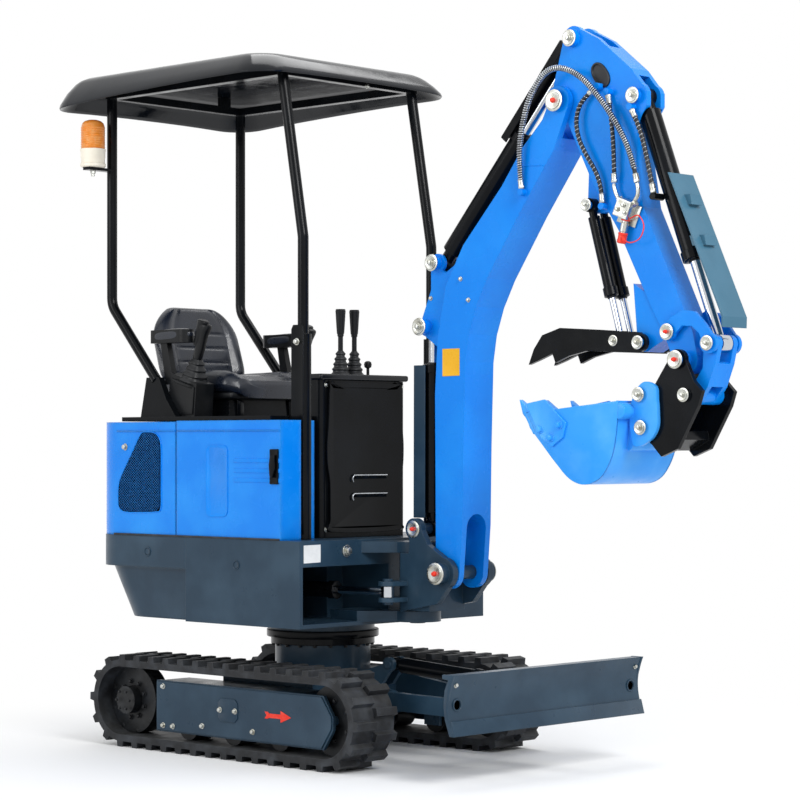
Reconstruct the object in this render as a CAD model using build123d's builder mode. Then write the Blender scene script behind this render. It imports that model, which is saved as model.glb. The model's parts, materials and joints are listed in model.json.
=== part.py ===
from build123d import *
import math
import os

os.makedirs("parts", exist_ok=True)

# A one-tonne tracked mini excavator with a canopy, a thumb and a dozer blade.
# Millimetres. +X points forwards, +Y to the operator's left, +Z up.
# The origin lies on the ground, under the middle of the machine's length.

# Running clearances
pin_gap = 0.3
seat_gap = 0.3
side_gap = 1.5

# Where the slew centre stands in the part's frame
front_reach = 1672.0
rear_reach = 865.0
slew_x = (rear_reach - front_reach) / 2

# Undercarriage
overall_width = 900.0
track_width = 180.0
belt_thickness = 22.0
lug_height = 18.0
lug_length = 34.0
lug_tip = 24.0
lug_count = 38
wheel_radius = 113.0
sprocket_dx = -505.0
idler_dx = 447.0
sprocket_hub_radius = 46.0
wheel_width = 60.0
roller_radius = 45.0
roller_width = 88.0
roller_pitch = 215.0
roller_count = 3
axle_radius = 15.0
rail_inner_y = overall_width / 2 - 150
rail_plate = 12.0
cover_y = overall_width / 2 - 25
cover_low_z = 64.0
cover_high_z = 231.0
cover_rear_dx = -347.0
cover_front_dx = 430.0
cover_nose = 42.0
cross_length = 420.0
cross_half_width = rail_inner_y - 45
cross_low_z = 120.0
cross_high_z = 262.0
pedestal_radius = 158.0
slew_ring_radius = 172.0
slew_ring_low_z = 350.0
slew_plane_z = 371.0

# Dozer blade
blade_pivot_dx = 450.0
blade_pivot_z = 200.0
blade_pin_radius = 16.0
blade_arm_y = 165.0
blade_arm_width = 26.0
blade_arm_height = 56.0
blade_face_dx = 995.0
blade_low_z = 151.0
blade_high_z = 330.0
blade_hollow = 26.0
blade_plate = 12.0
blade_flange = 34.0
tie_hole_radius = 14.0
blade_ram_base_dx = 330.0
blade_ram_base_z = 296.0
blade_ram_eye_dx = 880.0
blade_ram_eye_z = 262.0

# Revolving platform
platform_half_width = 430.0
platform_rear_dx = -690.0
platform_corner = 140.0
platform_low_z = 430.0
platform_top_z = 703.0
platform_band_z = 600.0
platform_step = 20.0
platform_tuck = 75.0
platform_front_dx = 330.0
counterweight_front_dx = -200.0
skirt_wall = 14.0
deck_plate = 13.0
tunnel_high_z = 622.0
tunnel_inner_y = -30.0

# Nose and kingpin
kingpin_dx = 430.0
kingpin_radius = 25.0
kingpin_boss = 75.0
nose_low_z = 440.0
nose_plate = 35.0
nose_top_z = 695.0
nose_half_width = 165.0
nose_root_dx = 200.0

# Swing bracket
foot_dx = 620.0
foot_z = 602.0
foot_pin_radius = 22.0
bracket_cheek_y = 83.0
bracket_cheek = 22.0
bracket_barrel = 58.0
swing_lug_reach = 150.0
swing_lug_angle = -86.0
swing_ram_z = 540.0
swing_ram_base_dx = -130.0
swing_ram_base_y = -237.0

# Rams: barrel and rod
ram_barrel_radius = 32.0
ram_rod_radius = 16.0
ram_eye_radius = 27.0
ram_eye_width = 44.0
ram_neck = 50.0
small_neck = 38.0
small_barrel_radius = 25.0
small_rod_radius = 13.0
small_eye_radius = 21.0
small_eye_width = 34.0
boom_barrel_length = 520.0
boom_rod_inside = 290.0
arm_barrel_length = 505.0
arm_rod_inside = 90.0
bucket_barrel_length = 520.0
bucket_rod_inside = 110.0
thumb_barrel_length = 285.0
thumb_rod_inside = 60.0
thumb_ram_spread = 26.0
thumb_barrel_radius = 18.0
thumb_rod_radius = 10.0
thumb_eye_width = 24.0
swing_barrel_length = 380.0
swing_rod_inside = 190.0
blade_barrel_length = 380.0
blade_rod_inside = 130.0

# Boom, with its pins as offsets from the foot pin
boom_half_width = 67.0
fork_plate = 22.0
fork_height = 185.0
boom_ram_eye_dx = -119.0
boom_ram_eye_dz = 775.0
arm_ram_base_dx = -71.0
arm_ram_base_dz = 975.0
boom_tip_dx = 444.0
boom_tip_dz = 1436.0
ear_plate = 12.0

# Arm, with its pins as offsets from the boom's tip
arm_half_width = 43.0
arm_pin_radius = 20.0
arm_ram_eye_dx = 43.0
arm_ram_eye_dz = 185.0
bucket_ram_base_dx = 282.0
bucket_ram_base_dz = -9.0
arm_tip_dx = 464.0
arm_tip_dz = -789.0
rocker_pin_dx = 413.0
rocker_pin_dz = -707.0
thumb_pin_dx = 312.0
thumb_pin_dz = -735.0
thumb_ram_base_dx = 100.0
thumb_ram_base_dz = -318.0

# Rocker, link and hitch
rocker_plate_y = 56.0
rocker_plate = 12.0
rocker_eye_dx = 143.0
rocker_eye_dz = -36.0
link_plate_y = 37.0
link_plate = 20.0
hitch_plate_y = 78.0
hitch_plate = 16.0
hitch_link_dx = 28.0
hitch_link_dz = -102.0
linkage_pin_radius = 16.0
guard_half_width = 58.0

# Bucket, as offsets from the arm's tip pin
bucket_half_width = 150.0
bucket_wall = 8.0
bucket_pin_upper = (-122.0, -99.0)
bucket_pin_lower = (-115.0, -195.0)
bucket_ear = 16.0
tooth_count = 3
tooth_pitch = 120.0
tooth_width = 34.0

# Thumb
thumb_plate_y = 60.0
thumb_plate = 14.0
thumb_ram_eye_dx = -96.0
thumb_ram_eye_dz = 8.0
thumb_length = 423.0

# Hoses on the boom and the arm, their ports and the valve block
hose_radius = 6.5
port_radius = 10.5
port_gap = 0.9
port_proud = 3.0
valve_depth = 38.0
coupler_radius = 9.0

# Engine room, seat and controls
hood_low_z = 703.3
hood_high_z = 1082.0
hood_half_width = 425.0
hood_rear_dx = -683.0
hood_corner = 125.0
hood_wall = 6.0
hood_seam_dx = -250.0
hood_front_dx = 240.0
left_cover_front_dx = -230.0
right_cover_inner_y = -215.0
seat_deck_plate = 14.0
engine_size = (370.0, 380.0, 300.0)
engine_dx = -435.0
seat_dx = -450.0
seat_half_width = 198.0
console_dx = 160.0
console_half_width = 200.0
console_depth = 60.0
console_top_z = 1225.0
side_console_dx = -395.0
side_console_y = 244.0

# Canopy
post_y = 300.0
post_radius = 17.5
front_post_dx = 213.0
front_post_bend_z = 1665.0
front_post_top_dx = 118.0
post_sleeve_radius = 26.0
post_sleeve_top_z = 1356.0
rear_post_dx = -723.0
rear_post_bend_z = 1480.0
rear_post_foot_dx = -490.0
rear_post_foot_z = 1240.0
roof_rim_z = 2185.0
roof_top_z = 2250.0
roof_half_width = 434.0
roof_front_dx = 195.0
roof_sheet = 6.0
roof_rim = 30.0
roof_slope = 70.0
roof_corner = 60.0
beacon_radius = 44.0
beacon_out_y = 385.0
beacon_low_z = 1948.0
beacon_base_height = 62.0
beacon_dome_height = 100.0


# Helpers: places, plates, discs and rams
across_y = Vector(0, 1, 0)
across_z = Vector(0, 0, 1)


def side(y):
    """The side-view plane at y: its x is +X and its y is +Z, and an extrude runs to both sides."""
    return Plane.XZ.offset(-y)


def place(dx, z):
    """A side-view point, measured forwards from the slew centre and up from the ground."""
    return (slew_x + dx, z)


def offset_from(point, shift):
    """A side-view point, measured from another one."""
    return (point[0] + shift[0], point[1] + shift[1])


def plate(points, y, thickness):
    """A flat plate in side view, centred on y."""
    with BuildPart() as made:
        with BuildSketch(side(y)):
            with BuildLine():
                Polyline(*points, close=True)
            make_face()
        extrude(amount=thickness / 2, both=True)
    return made.part


def lobed_plate(points, lobes, y, thickness):
    """A plate whose outline is a polygon with round lobes, each (centre, radius), at its pins."""
    with BuildPart() as made:
        with BuildSketch(side(y)):
            with BuildLine():
                Polyline(*points, close=True)
            make_face()
            for centre, radius in lobes:
                with Locations(centre):
                    Circle(radius)
        extrude(amount=thickness / 2, both=True)
    return made.part


def cross_disc(centre, radius, y, width):
    """A round boss or pin that lies across the machine, centred on y."""
    with BuildPart() as made:
        with BuildSketch(side(y)):
            with Locations(centre):
                Circle(radius)
        extrude(amount=width / 2, both=True)
    return made.part


def box_between(x_low, x_high, y_low, y_high, z_low, z_high):
    """A block between six limits, with x measured from the slew centre."""
    with BuildPart() as made:
        with BuildSketch(Plane.XY.offset(z_low)):
            with Locations((slew_x + (x_low + x_high) / 2, (y_low + y_high) / 2)):
                Rectangle(x_high - x_low, y_high - y_low)
        extrude(amount=z_high - z_low)
    return made.part


def ram_frame(base, eye, cross):
    """A plane at the ram's base pin whose normal points to the rod's eye."""
    return Plane(origin=base, x_dir=cross, z_dir=eye - base)


def eye_boss(centre, cross, radius, width):
    """A round eye whose pin runs along cross."""
    across = Plane(origin=centre, z_dir=cross)
    with BuildPart() as made:
        with BuildSketch(across):
            Circle(radius)
        extrude(amount=width / 2, both=True)
    return made.part


def ram_barrel(base, eye, cross, length, radius, rod_radius, eye_radius, eye_width, pin_radius, neck):
    """A ram's barrel: base eye with its pin hole, neck, tube, gland ring and a bore for the rod."""
    frame = ram_frame(base, eye, cross)
    gland = 26.0
    bore_start = neck + 8
    with BuildPart() as made:
        with BuildSketch(frame):
            Circle(eye_width / 2)
        extrude(amount=length)
        with BuildSketch(frame.offset(neck)):
            Circle(radius)
        extrude(amount=length - neck)
        with BuildSketch(frame.offset(length - gland)):
            Circle(radius + 4)
        extrude(amount=gland)
        add(eye_boss(base, cross, eye_radius, eye_width))
        add(eye_boss(base, cross, pin_radius + pin_gap, eye_width + 2), mode=Mode.SUBTRACT)
        with BuildSketch(frame.offset(bore_start)):
            Circle(rod_radius + pin_gap)
        extrude(amount=length - bore_start + 1, mode=Mode.SUBTRACT)
    return made.part


def ram_rod(base, eye, cross, length, inside, rod_radius, eye_radius, eye_width):
    """A ram's rod, from inside its barrel to the eye that carries its pin's middle."""
    frame = ram_frame(base, eye, cross)
    reach = (eye - base).length
    with BuildPart() as made:
        with BuildSketch(frame.offset(length - inside)):
            Circle(rod_radius)
        extrude(amount=reach - length + inside)
        add(eye_boss(eye, cross, eye_radius, eye_width))
    return made.part


def barrel_room(base, eye, start):
    """The room that a ram's tube needs, from that far past its base pin."""
    frame = ram_frame(Vector(base[0], 0, base[1]), Vector(eye[0], 0, eye[1]), across_y)
    with BuildPart() as made:
        with BuildSketch(frame.offset(start)):
            Circle(ram_barrel_radius + 8)
        extrude(amount=560)
    return made.part


def guard_clearance(base, eye):
    """The room round a ram's barrel that its guard's clips leave."""
    frame = ram_frame(base, eye, across_y)
    with BuildPart() as made:
        with BuildSketch(frame):
            Circle(ram_barrel_radius + seat_gap)
        extrude(amount=(eye - base).length)
    return made.part


def in_space(point, y):
    """A side-view point as a point in space."""
    return Vector(point[0], y, point[1])


# Pins in side view
foot_pin = place(foot_dx, foot_z)
boom_ram_eye = offset_from(foot_pin, (boom_ram_eye_dx, boom_ram_eye_dz))
boom_ram_base = offset_from(foot_pin, (-121.0, 136.0))
arm_ram_base = offset_from(foot_pin, (arm_ram_base_dx, arm_ram_base_dz))
arm_pin = offset_from(foot_pin, (boom_tip_dx, boom_tip_dz))
arm_ram_eye = offset_from(arm_pin, (arm_ram_eye_dx, arm_ram_eye_dz))
bucket_ram_base = offset_from(arm_pin, (bucket_ram_base_dx, bucket_ram_base_dz))
tip_pin = offset_from(arm_pin, (arm_tip_dx, arm_tip_dz))
rocker_pin = offset_from(arm_pin, (rocker_pin_dx, rocker_pin_dz))
rocker_eye = offset_from(rocker_pin, (rocker_eye_dx, rocker_eye_dz))
thumb_pin = offset_from(arm_pin, (thumb_pin_dx, thumb_pin_dz))
thumb_ram_base = offset_from(arm_pin, (thumb_ram_base_dx, thumb_ram_base_dz))
thumb_ram_eye = offset_from(thumb_pin, (thumb_ram_eye_dx, thumb_ram_eye_dz))
hitch_link_pin = offset_from(tip_pin, (hitch_link_dx, hitch_link_dz))
blade_pin = place(blade_pivot_dx, blade_pivot_z)
blade_ram_base = place(blade_ram_base_dx, blade_ram_base_z)
blade_ram_eye = place(blade_ram_eye_dx, blade_ram_eye_z)
sprocket_axis = place(sprocket_dx, wheel_radius + belt_thickness + lug_height)
idler_axis = place(idler_dx, wheel_radius + belt_thickness + lug_height)

# Hoses: the points that each one's route goes round, as chosen by eye
hose_over_route = [
    Vector(slew_x + 934, -78, 1783),
    Vector(slew_x + 929, -86, 1868),
    Vector(slew_x + 946, -92, 1968),
    Vector(slew_x + 985, -95, 2070),
    Vector(slew_x + 1062, -96, 2142),
    Vector(slew_x + 1165, -92, 2112),
    Vector(slew_x + 1252, -84, 2020),
    Vector(slew_x + 1318, -72, 1920),
    Vector(slew_x + 1352, -64, 1832),
    Vector(slew_x + 1364, -62, 1772),
]
hose_thumb_route = [
    Vector(slew_x + 1205, -57, 2062),
    Vector(slew_x + 1160, -62, 2038),
    Vector(slew_x + 1137, -66, 1985),
    Vector(slew_x + 1145, -68, 1925),
    Vector(slew_x + 1176, -67, 1868),
    Vector(slew_x + 1212, -63, 1815),
    Vector(slew_x + 1229, -59, 1765),
    Vector(slew_x + 1231, -57, 1722),
]
hose_valve_route = [
    Vector(slew_x + 1253, -57, 2037),
    Vector(slew_x + 1268, -62, 1972),
    Vector(slew_x + 1278, -65, 1905),
    Vector(slew_x + 1281, -65, 1838),
    Vector(slew_x + 1280, -62, 1778),
]
hose_bucket_route = [
    Vector(slew_x + 1342, -57, 1986),
    Vector(slew_x + 1372, -60, 1932),
    Vector(slew_x + 1393, -61, 1868),
    Vector(slew_x + 1409, -60, 1800),
    Vector(slew_x + 1422, -58, 1738),
]


def route_port(end, neighbour, inner_y):
    """The round port that a hose's end stands off, from that far inside its wall to past the hose."""
    out = end - neighbour
    reach = (port_radius + port_gap) / math.hypot(out.X, out.Z)
    centre = (end.X + out.X * reach, end.Z + out.Z * reach)
    outer_y = end.Y - hose_radius - port_proud
    return cross_disc(centre, port_radius, (inner_y + outer_y) / 2, inner_y - outer_y)


def hose_tube(route):
    """A hose as a tube, each corner of its route an arc as large as its two runs allow."""
    radii = []
    with BuildPart() as made:
        with BuildLine() as line:
            start = route[0]
            for before, corner, after in zip(route, route[1:], route[2:]):
                along_in = (corner - before).normalized()
                along_out = (after - corner).normalized()
                trim = 0.45 * min((corner - before).length, (after - corner).length)
                Line(start, corner - along_in * trim)
                TangentArc(corner - along_in * trim, corner + along_out * trim, tangent=along_in)
                radii.append(round(trim / math.tan(math.radians(along_in.get_angle(along_out)) / 2)))
                start = corner + along_out * trim
            Line(start, route[-1])
        with BuildSketch(Plane(origin=line.line @ 0, z_dir=line.line % 0)):
            Circle(hose_radius)
        sweep()
    print("hose radii", radii)
    return made.part


# Undercarriage: side rails, cross frame, pedestal, slew ring and blade lugs
track_y = (overall_width - track_width) / 2
belt_inner_z = belt_thickness + lug_height
roller_z = belt_inner_z + seat_gap + roller_radius
cover_mid_z = (cover_low_z + cover_high_z) / 2
rail_outer_y = cover_y - rail_plate
roller_places = [(i - (roller_count - 1) / 2) * roller_pitch for i in range(roller_count)]
cover_outline = [
    place(cover_rear_dx, cover_low_z),
    place(cover_front_dx, cover_low_z),
    place(cover_front_dx + cover_nose, cover_mid_z - 20),
    place(cover_front_dx + cover_nose, cover_mid_z + 20),
    place(cover_front_dx, cover_high_z),
    place(cover_rear_dx, cover_high_z),
]
inner_rail = [
    place(sprocket_dx - 30, 120.0),
    place(idler_dx + 30, 120.0),
    place(idler_dx + 30, 190.0),
    place(cover_front_dx - 120, cover_high_z),
    place(cover_rear_dx + 20, cover_high_z),
    place(sprocket_dx - 30, 190.0),
]
with BuildPart() as undercarriage_frame:
    for hand in (-1, 1):
        add(plate(cover_outline, hand * (cover_y - rail_plate / 2), rail_plate))
        add(plate(inner_rail, hand * (rail_inner_y + rail_plate / 2), rail_plate))
        rail_top = sorted((hand * rail_inner_y, hand * cover_y))
        add(box_between(cover_rear_dx + 20, 300.0, rail_top[0], rail_top[1], 205.0, cover_high_z))
        for axis, reach in ((sprocket_axis, track_y + 20), (idler_axis, rail_outer_y)):
            middle = hand * (rail_inner_y + reach) / 2
            add(cross_disc(axis, axle_radius, middle, reach - rail_inner_y))
        for roller_dx in roller_places:
            middle = hand * (rail_inner_y + rail_outer_y) / 2
            add(cross_disc(place(roller_dx, roller_z), axle_radius, middle, rail_outer_y - rail_inner_y))
            hanger = [
                place(roller_dx - 34, roller_z - 20),
                place(roller_dx + 34, roller_z - 20),
                place(roller_dx + 34, 130.0),
                place(roller_dx - 34, 130.0),
            ]
            add(plate(hanger, hand * (rail_inner_y + rail_plate / 2), rail_plate))
        leg = sorted((hand * (cross_half_width - 55), hand * rail_inner_y))
        for leg_dx in (-150.0, 130.0):
            add(box_between(leg_dx - 55, leg_dx + 55, leg[0], leg[1], cross_low_z, 225.0))
    add(box_between(-cross_length / 2, cross_length / 2, -cross_half_width, cross_half_width, cross_low_z, cross_high_z))
    with BuildSketch(Plane.XY.offset(cross_high_z)):
        with Locations((slew_x, 0)):
            Circle(pedestal_radius)
    extrude(amount=slew_ring_low_z - cross_high_z)
    blade_lug = [
        place(150.0, 140.0),
        offset_from(blade_pin, (0, -30.0)),
        offset_from(blade_pin, (0, 30.0)),
        place(190.0, cross_high_z),
    ]
    lug_plate = 20.0
    lug_y = blade_arm_y - (blade_arm_width + lug_plate) / 2 - side_gap
    pin_y = (lug_y - lug_plate / 2 + blade_arm_y + blade_arm_width / 2 + 8) / 2
    for hand in (-1, 1):
        add(lobed_plate(blade_lug, [(blade_pin, 30.0)], hand * lug_y, lug_plate))
        pin_length = 2 * (pin_y - lug_y + lug_plate / 2)
        add(cross_disc(blade_pin, blade_pin_radius, hand * pin_y, pin_length))
    ram_lug = [
        place(190.0, 200.0),
        place(300.0, 230.0),
        offset_from(blade_ram_base, (24.0, 0)),
        offset_from(blade_ram_base, (-24.0, 0)),
        place(190.0, cross_high_z),
    ]
    base_ear_y = small_eye_width / 2 + side_gap + 7
    for hand in (-1, 1):
        add(lobed_plate(ram_lug, [(blade_ram_base, 24.0)], hand * base_ear_y, 14.0))
    add(cross_disc(blade_ram_base, small_rod_radius, 0, 2 * base_ear_y + 22))
undercarriage_frame.part.label = "undercarriage_frame"
export_step(undercarriage_frame.part, "parts/undercarriage_frame.step")

with BuildPart() as slew_ring:
    with BuildSketch(Plane.XY.offset(slew_ring_low_z)):
        with Locations((slew_x, 0)):
            Circle(slew_ring_radius)
    extrude(amount=slew_plane_z - seat_gap - slew_ring_low_z)
slew_ring.part.label = "slew_ring"
export_step(slew_ring.part, "parts/slew_ring.step")

# Rubber tracks: one loop each, with its lugs round the outside
belt_radius = wheel_radius + belt_thickness
run_length = idler_dx - sprocket_dx
loop_length = 2 * run_length + 2 * math.pi * belt_radius


def loop_frame(distance):
    """The belt's outer surface that far round the loop: a point and the unit vector out of it."""
    distance = distance % loop_length
    half_turn = math.pi * belt_radius
    if distance < run_length:
        return Vector(sprocket_axis[0] + distance, sprocket_axis[1] - belt_radius), Vector(0, -1)
    distance -= run_length
    if distance < half_turn:
        out = Vector(1, 0).rotate(Axis.Z, math.degrees(distance / belt_radius) - 90)
        return Vector(*idler_axis) + out * belt_radius, out
    distance -= half_turn
    if distance < run_length:
        return Vector(idler_axis[0] - distance, idler_axis[1] + belt_radius), Vector(0, 1)
    distance -= run_length
    out = Vector(1, 0).rotate(Axis.Z, math.degrees(distance / belt_radius) + 90)
    return Vector(*sprocket_axis) + out * belt_radius, out


def lug_corners(distance):
    """The four corners of one lug's side view, its root sunk in the belt."""
    point, out = loop_frame(distance)
    along = out.rotate(Axis.Z, 90)
    root = point - out * (belt_thickness / 2)
    tip = point + out * lug_height
    corners = [
        root - along * (lug_length / 2),
        tip - along * (lug_tip / 2),
        tip + along * (lug_tip / 2),
        root + along * (lug_length / 2),
    ]
    return [(corner.X, corner.Y) for corner in corners]


def track(hand):
    """One rubber track, with its lugs staggered between the two halves of its width."""
    middle = ((sprocket_axis[0] + idler_axis[0]) / 2, sprocket_axis[1])
    with BuildPart() as made:
        for half in (-1, 1):
            with BuildSketch(side(hand * track_y + half * track_width / 4)):
                with Locations(middle):
                    SlotCenterToCenter(run_length, 2 * belt_radius)
                for i in range(lug_count):
                    stagger = 0.25 * (1 + half)
                    with BuildLine():
                        Polyline(*lug_corners((i + stagger) * loop_length / lug_count), close=True)
                    make_face()
                with Locations(middle):
                    SlotCenterToCenter(run_length, 2 * wheel_radius, mode=Mode.SUBTRACT)
            extrude(amount=track_width / 4, both=True)
    return made.part


for hand, name in ((1, "track_left"), (-1, "track_right")):
    rubber = track(hand)
    rubber.label = name
    export_step(rubber, "parts/" + name + ".step")

# Running gear: sprocket, idler and rollers of each side, on the rail's axles
for hand, name in ((1, "running_gear_left"), (-1, "running_gear_right")):
    with BuildPart() as running_gear:
        add(cross_disc(sprocket_axis, wheel_radius - seat_gap, hand * track_y, wheel_width))
        hub_middle = (track_y + wheel_width / 2 + cover_y) / 2
        add(cross_disc(sprocket_axis, sprocket_hub_radius, hand * hub_middle, cover_y - track_y - wheel_width / 2))
        add(cross_disc(idler_axis, wheel_radius - seat_gap, hand * track_y, wheel_width))
        for roller_dx in roller_places:
            add(cross_disc(place(roller_dx, roller_z), roller_radius, hand * track_y, roller_width))
        bore_width = 2 * (rail_outer_y - track_y)
        add(cross_disc(idler_axis, axle_radius + pin_gap, hand * track_y, bore_width), mode=Mode.SUBTRACT)
        blind = hand * (track_y - wheel_width / 2 + (wheel_width / 2 + 20 + seat_gap) / 2)
        add(
            cross_disc(sprocket_axis, axle_radius + pin_gap, blind, wheel_width / 2 + 20 + seat_gap),
            mode=Mode.SUBTRACT,
        )
        for roller_dx in roller_places:
            add(
                cross_disc(place(roller_dx, roller_z), axle_radius + pin_gap, hand * track_y, bore_width),
                mode=Mode.SUBTRACT,
            )
    running_gear.part.label = name
    export_step(running_gear.part, "parts/" + name + ".step")

# Dozer blade: curved mouldboard with a top flange, two arms and a ram bracket
blade_back_dx = blade_face_dx - blade_plate
board_mid_z = (blade_low_z + blade_high_z) / 2
with BuildPart() as dozer_blade:
    with BuildSketch(side(0)):
        with BuildLine():
            face = ThreePointArc(
                place(blade_face_dx, blade_low_z),
                place(blade_face_dx - blade_hollow, board_mid_z),
                place(blade_face_dx - 6, blade_high_z),
            )
            top = Line(face @ 1, place(blade_back_dx - blade_flange, blade_high_z))
            lip = Line(top @ 1, place(blade_back_dx - blade_flange, blade_high_z - blade_plate))
            under = Line(lip @ 1, place(blade_back_dx - 6, blade_high_z - blade_plate))
            back = ThreePointArc(
                under @ 1,
                place(blade_back_dx - blade_hollow, board_mid_z),
                place(blade_back_dx, blade_low_z),
            )
            Line(back @ 1, face @ 0)
        make_face()
    extrude(amount=overall_width / 2, both=True)
    for hand in (-1, 1):
        arm_outline = [
            offset_from(blade_pin, (0, -blade_arm_height / 2)),
            place(blade_back_dx - blade_hollow + 6, blade_low_z + 14),
            place(blade_back_dx - blade_hollow + 2, blade_low_z + 14 + blade_arm_height),
            offset_from(blade_pin, (0, blade_arm_height / 2)),
        ]
        lobes = [(blade_pin, blade_arm_height / 2)]
        add(lobed_plate(arm_outline, lobes, hand * blade_arm_y, blade_arm_width))
        add(
            cross_disc(blade_pin, blade_pin_radius + pin_gap, hand * blade_arm_y, blade_arm_width + 2),
            mode=Mode.SUBTRACT,
        )
        ear = [
            place(blade_back_dx - blade_hollow + 2, 215.0),
            place(blade_back_dx - blade_hollow + 2, 300.0),
            offset_from(blade_ram_eye, (0, 24.0)),
            offset_from(blade_ram_eye, (0, -24.0)),
        ]
        ear_y = small_eye_width / 2 + side_gap + 7
        add(lobed_plate(ear, [(blade_ram_eye, 24.0)], hand * ear_y, 14.0))
        add(cross_disc(blade_ram_eye, small_rod_radius, hand * (ear_y + 12), 14.0))
    cross_tie = [
        place(760.0, 165.0),
        place(820.0, 165.0),
        place(820.0, 205.0),
        place(760.0, 205.0),
    ]
    add(plate(cross_tie, 0, 2 * blade_arm_y))
    for hand in (-1, 1):
        with BuildSketch(Plane.YZ.offset(slew_x + blade_face_dx - 60)):
            with Locations((hand * (overall_width / 2 - 40), board_mid_z)):
                Circle(tie_hole_radius)
        extrude(amount=90, mode=Mode.SUBTRACT)
dozer_blade.part.label = "dozer_blade"
export_step(dozer_blade.part, "parts/dozer_blade.step")

blade_base = in_space(blade_ram_base, 0)
blade_eye = in_space(blade_ram_eye, 0)
blade_ram_barrel = ram_barrel(
    blade_base, blade_eye, across_y, blade_barrel_length, small_barrel_radius,
    small_rod_radius, small_eye_radius, small_eye_width, small_rod_radius, small_neck,
)
blade_ram_barrel.label = "blade_ram_barrel"
export_step(blade_ram_barrel, "parts/blade_ram_barrel.step")
blade_ram_rod = ram_rod(
    blade_base, blade_eye, across_y, blade_barrel_length, blade_rod_inside,
    small_rod_radius, small_eye_radius, small_eye_width,
)
blade_ram_rod.label = "blade_ram_rod"
export_step(blade_ram_rod, "parts/blade_ram_rod.step")


# Revolving platform: the counterweight behind, the skirted deck and nose in front
def platform_outline(inset, front_dx):
    """The platform's plan with round rear corners, drawn that far inside its edge."""
    rear = slew_x + platform_rear_dx + inset
    half = platform_half_width - min(inset, 45.0)
    radius = platform_corner
    with BuildSketch() as made:
        with BuildLine():
            right = Line((slew_x + front_dx, -half), (rear + radius, -half))
            corner_right = TangentArc(right @ 1, (rear, -half + radius), tangent=(-1, 0))
            back = Line(corner_right @ 1, (rear, half - radius))
            corner_left = TangentArc(back @ 1, (rear + radius, half), tangent=(0, 1))
            left = Line(corner_left @ 1, (slew_x + front_dx, half))
            Line(left @ 1, right @ 0)
        make_face()
    return made.sketch


with BuildPart() as counterweight:
    with BuildSketch(Plane.XY.offset(platform_band_z)):
        add(platform_outline(0, counterweight_front_dx))
    extrude(amount=platform_top_z - platform_band_z)
    with BuildSketch(Plane.XY.offset(platform_band_z)):
        add(platform_outline(platform_step, counterweight_front_dx))
    with BuildSketch(Plane.XY.offset(platform_low_z)):
        add(platform_outline(platform_step + platform_tuck, counterweight_front_dx))
    loft()
counterweight.part.label = "counterweight"
export_step(counterweight.part, "parts/counterweight.step")

skirt_front_dx = platform_front_dx
nose_arm_dx = platform_front_dx - 10
bulkhead_dx = 120.0
bulkhead_y = -100.0
with BuildPart() as upper_frame:
    add(
        box_between(
            counterweight_front_dx, skirt_front_dx,
            -platform_half_width, platform_half_width, platform_top_z - deck_plate, platform_top_z,
        )
    )
    for hand in (-1, 1):
        wall = sorted((hand * (platform_half_width - skirt_wall), hand * platform_half_width))
        add(box_between(counterweight_front_dx, skirt_front_dx, wall[0], wall[1], platform_low_z, platform_top_z))
    add(
        box_between(
            counterweight_front_dx, bulkhead_dx,
            bulkhead_y, platform_half_width, platform_low_z, platform_top_z,
        )
    )
    add(
        box_between(
            bulkhead_dx - 1, skirt_front_dx,
            tunnel_inner_y, platform_half_width, platform_low_z, platform_top_z,
        )
    )
    add(
        box_between(
            counterweight_front_dx, skirt_front_dx,
            -platform_half_width, platform_half_width, platform_low_z, platform_low_z + deck_plate,
        )
    )
    add(
        box_between(
            skirt_front_dx - skirt_wall, skirt_front_dx,
            -platform_half_width, tunnel_inner_y + 1, tunnel_high_z, platform_top_z,
        )
    )
    with BuildSketch(Plane.XY.offset(slew_plane_z)):
        with Locations((slew_x, 0)):
            Circle(slew_ring_radius)
    extrude(amount=platform_low_z - slew_plane_z)
    for low in (nose_low_z, nose_top_z - nose_plate):
        with BuildSketch(Plane.XY.offset(low)):
            with BuildLine():
                Polyline(
                    (slew_x + nose_arm_dx, -nose_half_width),
                    (slew_x + kingpin_dx - 20, -kingpin_boss),
                    (slew_x + kingpin_dx, -kingpin_boss),
                    (slew_x + kingpin_dx, kingpin_boss),
                    (slew_x + kingpin_dx - 20, kingpin_boss),
                    (slew_x + nose_arm_dx, nose_half_width),
                    (slew_x + nose_root_dx, nose_half_width),
                    (slew_x + nose_root_dx, -nose_half_width),
                    close=True,
                )
            make_face()
            with Locations((slew_x + kingpin_dx, 0)):
                Circle(kingpin_boss)
                Circle(kingpin_radius + pin_gap, mode=Mode.SUBTRACT)
        extrude(amount=nose_plate)
    add(
        box_between(
            counterweight_front_dx, counterweight_front_dx + 12,
            -platform_half_width, bulkhead_y + 10, platform_low_z, platform_top_z,
        )
    )
    for low in (swing_ram_z - small_eye_width / 2 - side_gap - 14, swing_ram_z + small_eye_width / 2 + side_gap):
        with BuildSketch(Plane.XY.offset(low)):
            with Locations((slew_x + swing_ram_base_dx, swing_ram_base_y)):
                Circle(30.0)
            with Locations((slew_x + swing_ram_base_dx - 30, swing_ram_base_y)):
                Rectangle(80.0, 60.0)
        extrude(amount=14.0)
    with BuildSketch(Plane.XY.offset(swing_ram_z - 36)):
        with Locations((slew_x + swing_ram_base_dx, swing_ram_base_y)):
            Circle(small_rod_radius)
    extrude(amount=72.0)
upper_frame.part.label = "upper_frame"
export_step(upper_frame.part, "parts/upper_frame.step")

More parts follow.
